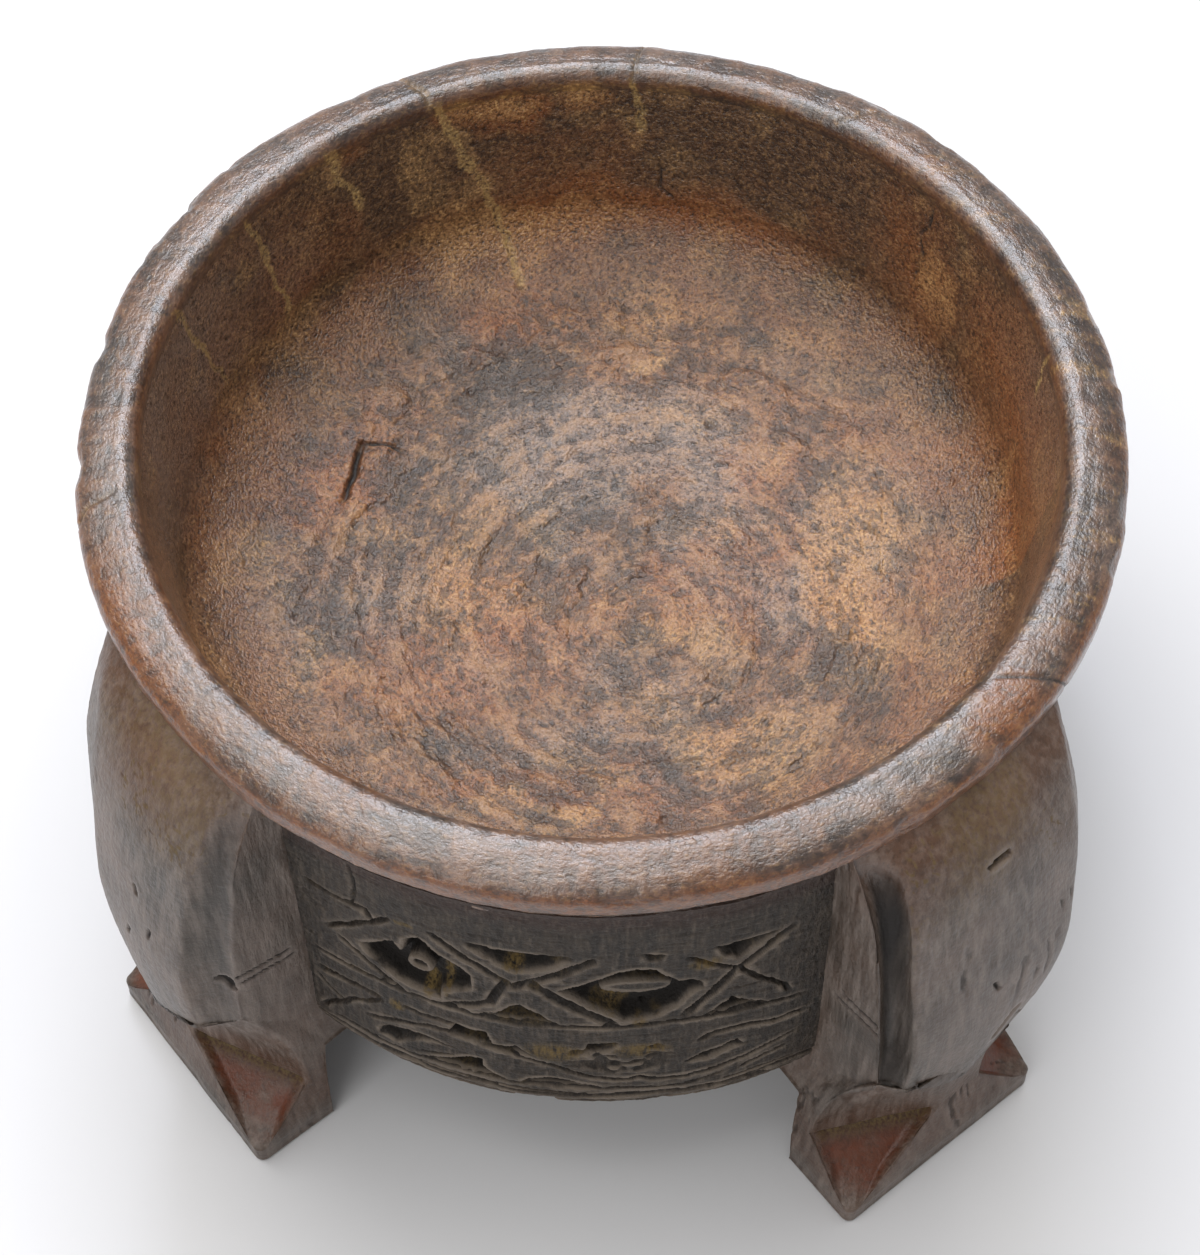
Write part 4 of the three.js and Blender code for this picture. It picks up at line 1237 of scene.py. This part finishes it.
def leg_skin(name, leg, plain, size, layer):
    """A leg's relief and marks: low hollows and facets, grain, pores, its own cuts, painted shade
    in the flute, at the neck and at the tops of the chamfer stops, red brown in the chamfer stops,
    and straw under the rim and in a tangle of fine lines."""
    level, part, place, stop, pocket = leg.level, leg.part, leg.place, leg.stop, leg.pocket
    relief = 0.25 * fractal(plain, 22, 3, layer) - 0.4 * np.abs(noise(plain, (13, 13, 30), layer + 3))
    relief = relief + 0.04 * fractal(plain, (0.9, 0.9, 9), 3, layer + 5)
    relief = relief + 0.03 * fractal(plain, 1.2, 2, layer + 9)
    pores = step(0.5, 0.8, fractal(plain, (1.3, 1.3, 8), 2, layer + 12))
    pores = pores * step(0, 0.5, noise(plain, 17, layer + 13))
    relief, hollow, straw = leg_cuts(name, leg, plain, relief - 0.3 * pores, 0.5 * pores)
    # Painted shade in the flute, darkest towards its near side
    painted_flute_shade = leg.above * (1 - step(122, 137, level)) * (part == 1) * step(0.0, 0.1, place) * (1 - place**3)
    painted_flute_shade = painted_flute_shade * min(FLUTE[name] / 4, 1) * (0.8 + 0.3 * fractal(plain, (5, 5, 24), 3, layer + 35))
    neck_shade = step(size.neck_height + 16, size.neck_height, level) * (1 - step(0.7, 0.95, 1 - stop))
    tangled = step(0.1, 0.03, np.abs(noise(plain, 2.4, layer + 40)))
    tangled = tangled * step(0.2, 0.6, noise(plain, 11, layer + 42))
    dusty = 0.5 * step(108, 132, leg.height) * step(-0.1, 0.6, noise(plain, (16, 16, 22), layer + 6))
    dusty = dusty * (part == 2)
    straw = np.maximum(straw, np.maximum(dusty, 0.9 * tangled * step(104, 124, leg.height)))
    amber = step(112, 136, leg.height) * (0.5 + 0.8 * noise(plain, (16, 16, 30), layer + 2))
    return relief, {
        "tone": 0.5 * fractal(plain, (12, 12, 40), 3, layer + 20) - 1.1 * painted_flute_shade - 0.25 * neck_shade,
        "warm": np.clip(amber + 0.35 * neck_shade, 0, 1),
        # Painted shade in the flute and at the tops of the chamfer stops
        "hollow": np.clip(np.maximum(hollow, 0.85 * painted_flute_shade) + 0.6 * pocket * step(0.5, 0.85, stop), 0, 1),
        "ridge": np.clip(ridges(relief, 3, True) * 2, -1, 1),
        "pale": np.clip(pocket * (1.0 + 0.9 * fractal(plain, 6, 4, layer + 31)), 0, 1),
        "dust": np.clip(pocket * step(0.6, 0.9, stop) + straw, 0, 1),
    }


def leg_piece(name, node, turn, mirrored, size, layer, material):
    """A slab leg: its form set against the wall at its angle round the bowl, and raised by its
    relief, except where it lies in the wood."""
    leg = leg_form(FLUTE[name], mirrored, size)
    turned_by, side = math.radians(turn), -1 if mirrored else 1
    radial = np.array([math.cos(turned_by), math.sin(turned_by)])
    sideways = np.array([-math.sin(turned_by), math.cos(turned_by)]) * side
    wall = size.rim_radius - size.rim_overhang
    flat = (wall + leg.out)[..., None] * radial + leg.across[..., None] * sideways
    plain = np.concatenate([flat, leg.height[..., None]], -1)
    relief, marks = leg_skin(name, leg, plain, size, layer)
    facing = grid_normals(plain, False, True) * side
    points = plain + facing * ((relief - 0.15) * step(0, 2, leg.height) * (leg.part < 5))[..., None]
    points[..., 2] = np.maximum(points[..., 2], 0)
    rows, columns = leg.across.shape
    faces = grid_faces(rows, columns, False, True)
    caps = [np.arange(columns), ((rows - 1) * columns + np.arange(columns))[::-1]]
    if mirrored:
        faces, caps = faces[:, ::-1], [cap[::-1] for cap in caps]
    return put_piece(name, points, [], faces, caps, marks, material, node)


# Materials


def add(tree, kind, inputs=None, **settings):
    """Adds a node, sets its properties, and gives its inputs values, sockets or other nodes' first
    outputs."""
    node = tree.nodes.new(kind)
    for name, value in settings.items():
        setattr(node, name, value)
    for name, value in (inputs or {}).items():
        if isinstance(value, bpy.types.Node):
            value = next(output for output in value.outputs if output.enabled)
        if isinstance(value, bpy.types.NodeSocket):
            tree.links.new(value, node.inputs[name])
        else:
            node.inputs[name].default_value = value
    return node


def per(size_mm):
    """Times that a pattern of this size goes into a metre."""
    return 1 / (size_mm * MM)


# What the four kinds of wood share, where they say nothing else
ANY_WOOD = {
    "cut": linear("#1b110b"), "grey": linear("#4a4540"), "rust": 0.0, "warmth": 0.8, "greying": 0.0,
    "polish": 0.0, "coat": 0.0, "coat_rough": 0.3, "ior": 1.5,
}


def wood(name, look):
    """Hardwood from its settings, with sizes in millimetres: large patches between a dark and a
    middle colour, and over them one colour after another by its share: streaks along the grain,
    amber, grey that is partly painted sheen, red brown or straw stains, flecks, pores, rubbed
    edges, cuts with painted shade in low places and hollows, and dust."""
    look = {**ANY_WOOD, **look}
    material = bpy.data.materials.new(name)
    material.use_nodes = True
    tree = material.node_tree
    tree.nodes.clear()
    place = add(tree, "ShaderNodeTexCoord").outputs["Object"]
    grain = add(tree, "ShaderNodeAttribute", attribute_name="grain").outputs["Vector"]
    marks = {
        mark: add(tree, "ShaderNodeAttribute", attribute_name=mark).outputs["Fac"]
        for mark in MARKS
    }

    def pattern(source, size, detail, roughness=0.55):
        scale = [per(part) for part in np.broadcast_to(size, 3)]
        mapped = add(tree, "ShaderNodeMapping", {"Vector": source, "Scale": scale})
        settings = {"Vector": mapped, "Scale": 1.0, "Detail": detail, "Roughness": roughness}
        return add(tree, "ShaderNodeTexNoise", settings)

    def between(value, low, high, to_low=0.0, to_high=1.0):
        return add(tree, "ShaderNodeMapRange", {0: value, 1: low, 2: high, 3: to_low, 4: to_high})

    def worked(operation, *values):
        return add(tree, "ShaderNodeMath", dict(enumerate(values)), operation=operation)

    patches = pattern(place, look["patch"], 4)
    streaks = pattern(grain, look["streak"], 5, 0.62)
    fibres = pattern(grain, look["fibre"], 3, 0.6)
    specks = pattern(place, look["speck"], 2)
    middle, greying, rust, grit = 0.5 * look["patchiness"], look["greying"], look["rust"], look["grit"]
    shade = worked("MULTIPLY_ADD", patches, look["patchiness"], marks["tone"])
    flecks = between(marks["pale"], 0, 1, look["fleck"], 1)
    pores = worked("MULTIPLY", between(specks, 0.46, 0.34), look["pore"])
    crevices = worked("MULTIPLY", between(fibres, 0.48, 0.34), look["crevice"])
    # Painted shade: places below the mean of the relief around them darken towards the cut colour
    sunk = worked("MULTIPLY", between(marks["ridge"], -0.05, -0.6), look["sunk"])
    tint = (*look["dark"], 1)
    for colour_name, share in (
        ("mid", between(shade, middle - 0.55, middle + 0.55)),
        ("light", worked("MULTIPLY", between(streaks, 0.42, 0.68), look["streakiness"])),
        ("warm", worked("MULTIPLY", marks["warm"], look["warmth"])),
        # Grey, partly painted sheen
        ("grey", worked("MULTIPLY", marks["grey"], between(patches, 0.3, 0.6, greying * 0.5, greying))),
        ("fleck_colour", worked("MULTIPLY", marks["pale"], between(patches, 0.25, 0.6, rust * 0.6, rust))),
        ("fleck_colour", worked("MULTIPLY", between(fibres, 0.52, 0.7), flecks)),
        ("cut", worked("MAXIMUM", pores, crevices)),
        ("light", worked("MULTIPLY", between(marks["ridge"], 0.05, 0.6), look["rubbed"])),
        # Painted shade in low places and hollows, over the dark of cuts and cracks
        ("cut", worked("MAXIMUM", sunk, between(marks["hollow"], 0.08, 0.85))),
        ("dust", worked("MULTIPLY", marks["dust"], between(fibres, 0.35, 0.6))),
    ):
        over = (*look[colour_name], 1)
        tint = add(tree, "ShaderNodeMix", {0: share, 6: tint, 7: over}, data_type="RGBA")
    rough = add(tree, "ShaderNodeMix", {0: 0.5, 2: streaks, 3: specks})
    rough = between(rough, 0.35, 0.65, *look["rough"])
    rough = worked("SUBTRACT", rough, worked("MULTIPLY", marks["grey"], look["polish"]))
    matt = between(worked("MAXIMUM", marks["hollow"], marks["dust"]), 0, 0.6, 0, 0.75)
    heights = worked("MULTIPLY_ADD", specks, grit, worked("MULTIPLY", fibres, 1 - grit))
    bumped = add(
        tree, "ShaderNodeBump", {"Height": heights, "Distance": look["bump"] * MM, "Strength": 1.0}
    )
    shader = add(tree, "ShaderNodeBsdfPrincipled", {
        "Base Color": tint, "Roughness": worked("MAXIMUM", rough, matt), "IOR": look["ior"],
        "Coat Weight": look["coat"], "Coat Roughness": look["coat_rough"],
        "Normal": bumped, "Coat Normal": bumped,
    })
    add(tree, "ShaderNodeOutputMaterial", {"Surface": shader})
    return material


def basin_wood(colours):
    """Hardwood, scraped and worn dry by use: open fibres that glint, over a dull red brown."""
    return wood("worn_hardwood", {
        "dark": colours.floor_dark, "mid": colours.floor_mid, "light": colours.floor_light,
        "warm": linear("#854a20"), "grey": linear("#7d726c"), "fleck_colour": linear("#c9a06a"),
        "dust": colours.straw, "rust": 0.4, "patch": 14, "streak": (2.2, 2.2, 1.5),
        "fibre": (0.8, 0.8, 0.9), "speck": 0.55, "patchiness": 1.7, "streakiness": 0.3,
        "greying": 0.65, "polish": 0.12, "fleck": 0.3, "pore": 0.55, "crevice": 0.85, "rubbed": 0.35,
        "sunk": 0.6, "rough": (0.24, 0.42), "grit": 0.45, "bump": 0.8, "coat": 0.65, "coat_rough": 0.16,
    })


def rim_wood(colours):
    """Hardwood, polished by hands and oil: a satin skin over blotched red brown."""
    return wood("handled_hardwood", {
        "dark": colours.rim_dark, "mid": colours.rim_mid, "light": colours.rim_light,
        "warm": colours.amber, "grey": linear("#6f635d"), "fleck_colour": linear("#c29a5c"),
        "dust": colours.straw, "rust": 0.45, "patch": 9, "streak": (4, 4, 1.2),
        "fibre": (1.2, 1.2, 0.7), "speck": 0.7, "patchiness": 1.9, "streakiness": 0.35, "warmth": 0.95,
        "greying": 0.4, "polish": 0.04, "fleck": 0.15, "pore": 0.5, "crevice": 0.55, "rubbed": 0.3,
        "sunk": 0.55, "rough": (0.3, 0.46), "grit": 0.5, "bump": 0.3, "coat": 0.75, "coat_rough": 0.22,
    })


def carved_wood(colours):
    """Hardwood, chip-carved and gone dry and grey: matt, with dust in the cuts and rubbed ridges."""
    return wood("carved_dry_hardwood", {
        "dark": linear("#1f1b18"), "mid": colours.carved_mid, "light": colours.carved_light,
        "warm": linear("#33201a"), "fleck_colour": linear("#8d8175"), "cut": colours.carved_dark,
        "dust": colours.dust, "patch": 11, "streak": (1.3, 1.3, 11), "fibre": (0.7, 0.7, 3),
        "speck": 1.0, "patchiness": 1.4, "streakiness": 0.25, "fleck": 0.15, "pore": 0.4,
        "crevice": 0.4, "rubbed": 0.7, "sunk": 0.6, "rough": (0.5, 0.72), "grit": 0.5, "bump": 0.6,
        "ior": 1.33,
    })


def leg_wood(colours):
    """Hardwood, cut in broad facets and rubbed dull: mauve brown with dark pores along the grain."""
    return wood("hewn_dry_hardwood", {
        "dark": colours.leg_dark, "mid": colours.leg_mid, "light": colours.leg_light,
        "warm": linear("#5a3318"), "fleck_colour": colours.leg_rust, "cut": linear("#17110e"),
        "dust": colours.dust, "rust": 0.95, "patch": 17, "streak": (1.8, 1.8, 16),
        "fibre": (0.7, 0.7, 4), "speck": 1.1, "patchiness": 1.5, "streakiness": 0.5, "fleck": 0.0,
        "pore": 0.3, "crevice": 0.2, "rubbed": 0.5, "sunk": 0.4, "rough": (0.32, 0.5), "grit": 0.4,
        "bump": 0.3,
    })


# Operators


class SALTBOWL_OT_basin(bpy.types.Operator):
    """Make the basin's floor and wall"""

    bl_idname = "saltbowl.basin"
    bl_label = "Basin"

    def execute(self, context):
        size, colours = sizes_mm(context), context.scene.salt_bowl_colours
        path = bowl_path(size)
        edge, bend, lip = path.ends["dish"] - 6, path.ends["corner"] + 2, path.ends["wall"]
        material = basin_wood(colours)
        basin_floor(path, size, edge, material)
        ring_piece("basin_bend", path, basin_skin, edge, bend, RING_ROWS, size, material)
        ring_piece("basin_wall", path, basin_skin, bend, lip, RING_ROWS, size, material)
        return {"FINISHED"}


class SALTBOWL_OT_rim(bpy.types.Operator):
    """Make the rounded rim"""

    bl_idname = "saltbowl.rim"
    bl_label = "Rim"

    def execute(self, context):
        size, colours = sizes_mm(context), context.scene.salt_bowl_colours
        path, material = bowl_path(size), rim_wood(colours)
        start, end = path.ends["wall"], path.ends["undercut"]
        ring_piece("rim", path, rim_skin, start, end, RING_ROWS + 1, size, material)
        return {"FINISHED"}


class SALTBOWL_OT_walls(bpy.types.Operator):
    """Make the four carved stretches of the drum's wall and its underside"""

    bl_idname = "saltbowl.walls"
    bl_label = "Carved walls"

    def execute(self, context):
        size, colours = sizes_mm(context), context.scene.salt_bowl_colours
        path, material = bowl_path(size), carved_wood(colours)
        for layer, (name, turn, flip) in enumerate(WALLS):
            grid = FAR_GRID if layer else FRONT_GRID
            wall_panel(name, path, size, turn, flip, grid, layer, material)
        underside_piece(path, size, material)
        return {"FINISHED"}


class SALTBOWL_OT_legs(bpy.types.Operator):
    """Make the four slab legs"""

    bl_idname = "saltbowl.legs"
    bl_label = "Legs"

    def execute(self, context):
        size, material = sizes_mm(context), leg_wood(context.scene.salt_bowl_colours)
        for layer, (name, (node, turn, mirrored)) in enumerate(LEGS.items()):
            leg_piece(name, node, turn, mirrored, size, 10 * layer, material)
        return {"FINISHED"}


class SALTBOWL_OT_stage(bpy.types.Operator):
    """Make the pale floor, the soft lamps and the camera"""

    bl_idname = "saltbowl.stage"
    bl_label = "Floor, lamps and camera"

    def execute(self, context):
        scene, stage = context.scene, context.scene.salt_bowl_stage
        make_floor(scene.salt_bowl_colours.floor_white)
        make_lamps(stage)
        make_camera(scene, stage)
        scene.view_settings.view_transform = "Standard"
        return {"FINISHED"}


FLOOR_HALF = 3.0  # metres from the middle of the floor to its edges
LOOK_AT = Vector((-0.001225, 0.005721, 0.06))  # the point that the camera looks at


def make_floor(white):
    """A pale matt floor. Seen straight on or mirrored it is a little darker than in the light that it
    throws on the bowl, and it keeps the bowl's shadow."""
    mesh = bpy.data.meshes.new("pale_floor")
    corners = [(x * FLOOR_HALF, y * FLOOR_HALF, 0) for x, y in ((-1, -1), (1, -1), (1, 1), (-1, 1))]
    mesh.from_pydata(corners, [], [(0, 1, 2, 3)])
    floor = bpy.data.objects.new("pale_floor", mesh)
    bpy.context.scene.collection.objects.link(floor)
    material = bpy.data.materials.new("matt_white_paint")
    material.use_nodes = True
    tree = material.node_tree
    tree.nodes.clear()
    rays = add(tree, "ShaderNodeLightPath").outputs
    seen = rays["Is Camera Ray"]
    for kind in ("Is Glossy Ray", "Is Transmission Ray"):
        seen = add(tree, "ShaderNodeMath", {0: seen, 1: rays[kind]}, operation="MAXIMUM")
    shown, lit = (*linear("#cbcbcd"), 1), (*white, 1)
    tint = add(tree, "ShaderNodeMix", {0: seen, 6: lit, 7: shown}, data_type="RGBA")
    paint = add(tree, "ShaderNodeBsdfPrincipled", {"Base Color": tint, "Roughness": 0.9})
    add(tree, "ShaderNodeOutputMaterial", {"Surface": paint})
    mesh.materials.append(material)


def make_lamps(stage):
    """Soft light from all round, a large lamp overhead and behind, a weak one in front, and a small
    cool one behind whose sheen shows in the basin."""
    world = bpy.data.worlds.new("soft_surroundings")
    world.use_nodes = True
    background = world.node_tree.nodes["Background"]
    background.inputs["Color"].default_value = (*linear("#f6f5f4"), 1)
    background.inputs["Strength"].default_value = stage.surroundings
    bpy.context.scene.world = world
    for name, place, across, watts, tint in (
        ("overhead_lamp", (-0.25, 0.4, 1.5), 1.7, stage.overhead_watts, "#fbfaf8"),
        ("front_lamp", (-0.7, -1.4, 1.3), 1.2, stage.front_watts, "#fbfaf8"),
        ("sheen_lamp", (-0.16, 0.95, 1.5), 0.55, stage.sheen_watts, "#e6edff"),
    ):
        lamp = bpy.data.lights.new(name, "AREA")
        lamp.energy, lamp.size = watts, across
        lamp.color = linear(tint)
        held = bpy.data.objects.new(name, lamp)
        held.location = place
        held.rotation_euler = (Vector((0, 0, 0.1)) - Vector(place)).to_track_quat("-Z", "Y").to_euler()
        bpy.context.scene.collection.objects.link(held)


def make_camera(scene, stage):
    """A camera at the photograph's angle: back from the point it looks at by its distance, and
    turned about its own line of sight by its roll."""
    turn, rise = stage.camera_azimuth, stage.camera_elevation
    back = Vector((math.sin(turn) * math.cos(rise), -math.cos(turn) * math.cos(rise), math.sin(rise)))
    right = back.cross(Vector((0, 0, -1))).normalized()
    up = back.cross(right)
    roll_cos, roll_sin = math.cos(stage.camera_roll), math.sin(stage.camera_roll)
    tilted_right = right * roll_cos + up * roll_sin
    tilted_up = up * roll_cos - right * roll_sin
    lens = bpy.data.cameras.new("camera")
    lens.lens, lens.sensor_width = stage.lens, 36
    camera = bpy.data.objects.new("camera", lens)
    axes = Matrix((tilted_right, tilted_up, back)).transposed().to_4x4()
    camera.matrix_world = Matrix.Translation(LOOK_AT + back * stage.camera_distance) @ axes
    scene.collection.objects.link(camera)
    scene.camera = camera


class SALTBOWL_PT_parts(bpy.types.Panel):
    """Lists the bowl's pieces and settings"""

    bl_idname = "SALTBOWL_PT_parts"
    bl_label = "Salt bowl"
    bl_space_type = "VIEW_3D"
    bl_region_type = "UI"
    bl_category = "Salt bowl"

    def draw(self, context):
        for operator in OPERATORS:
            self.layout.operator(operator.bl_idname)
        scene = context.scene
        for group in (scene.salt_bowl_sizes, scene.salt_bowl_colours, scene.salt_bowl_stage):
            column = self.layout.column(align=True)
            for name in group.__annotations__:
                column.prop(group, name)


OPERATORS = (SALTBOWL_OT_basin, SALTBOWL_OT_rim, SALTBOWL_OT_walls, SALTBOWL_OT_legs, SALTBOWL_OT_stage)
CLASSES = (SaltBowlSizes, SaltBowlColours, SaltBowlStage, *OPERATORS, SALTBOWL_PT_parts)


def register():
    for each in CLASSES:
        bpy.utils.register_class(each)
    bpy.types.Scene.salt_bowl_sizes = PointerProperty(type=SaltBowlSizes)
    bpy.types.Scene.salt_bowl_colours = PointerProperty(type=SaltBowlColours)
    bpy.types.Scene.salt_bowl_stage = PointerProperty(type=SaltBowlStage)


def unregister():
    del bpy.types.Scene.salt_bowl_sizes
    del bpy.types.Scene.salt_bowl_colours
    del bpy.types.Scene.salt_bowl_stage
    for each in reversed(CLASSES):
        bpy.utils.unregister_class(each)


def main():
    """Makes every piece in order."""
    register()
    bpy.ops.saltbowl.basin()
    bpy.ops.saltbowl.rim()
    bpy.ops.saltbowl.walls()
    bpy.ops.saltbowl.legs()
    bpy.ops.saltbowl.stage()


if __name__ == "__main__":
    main()
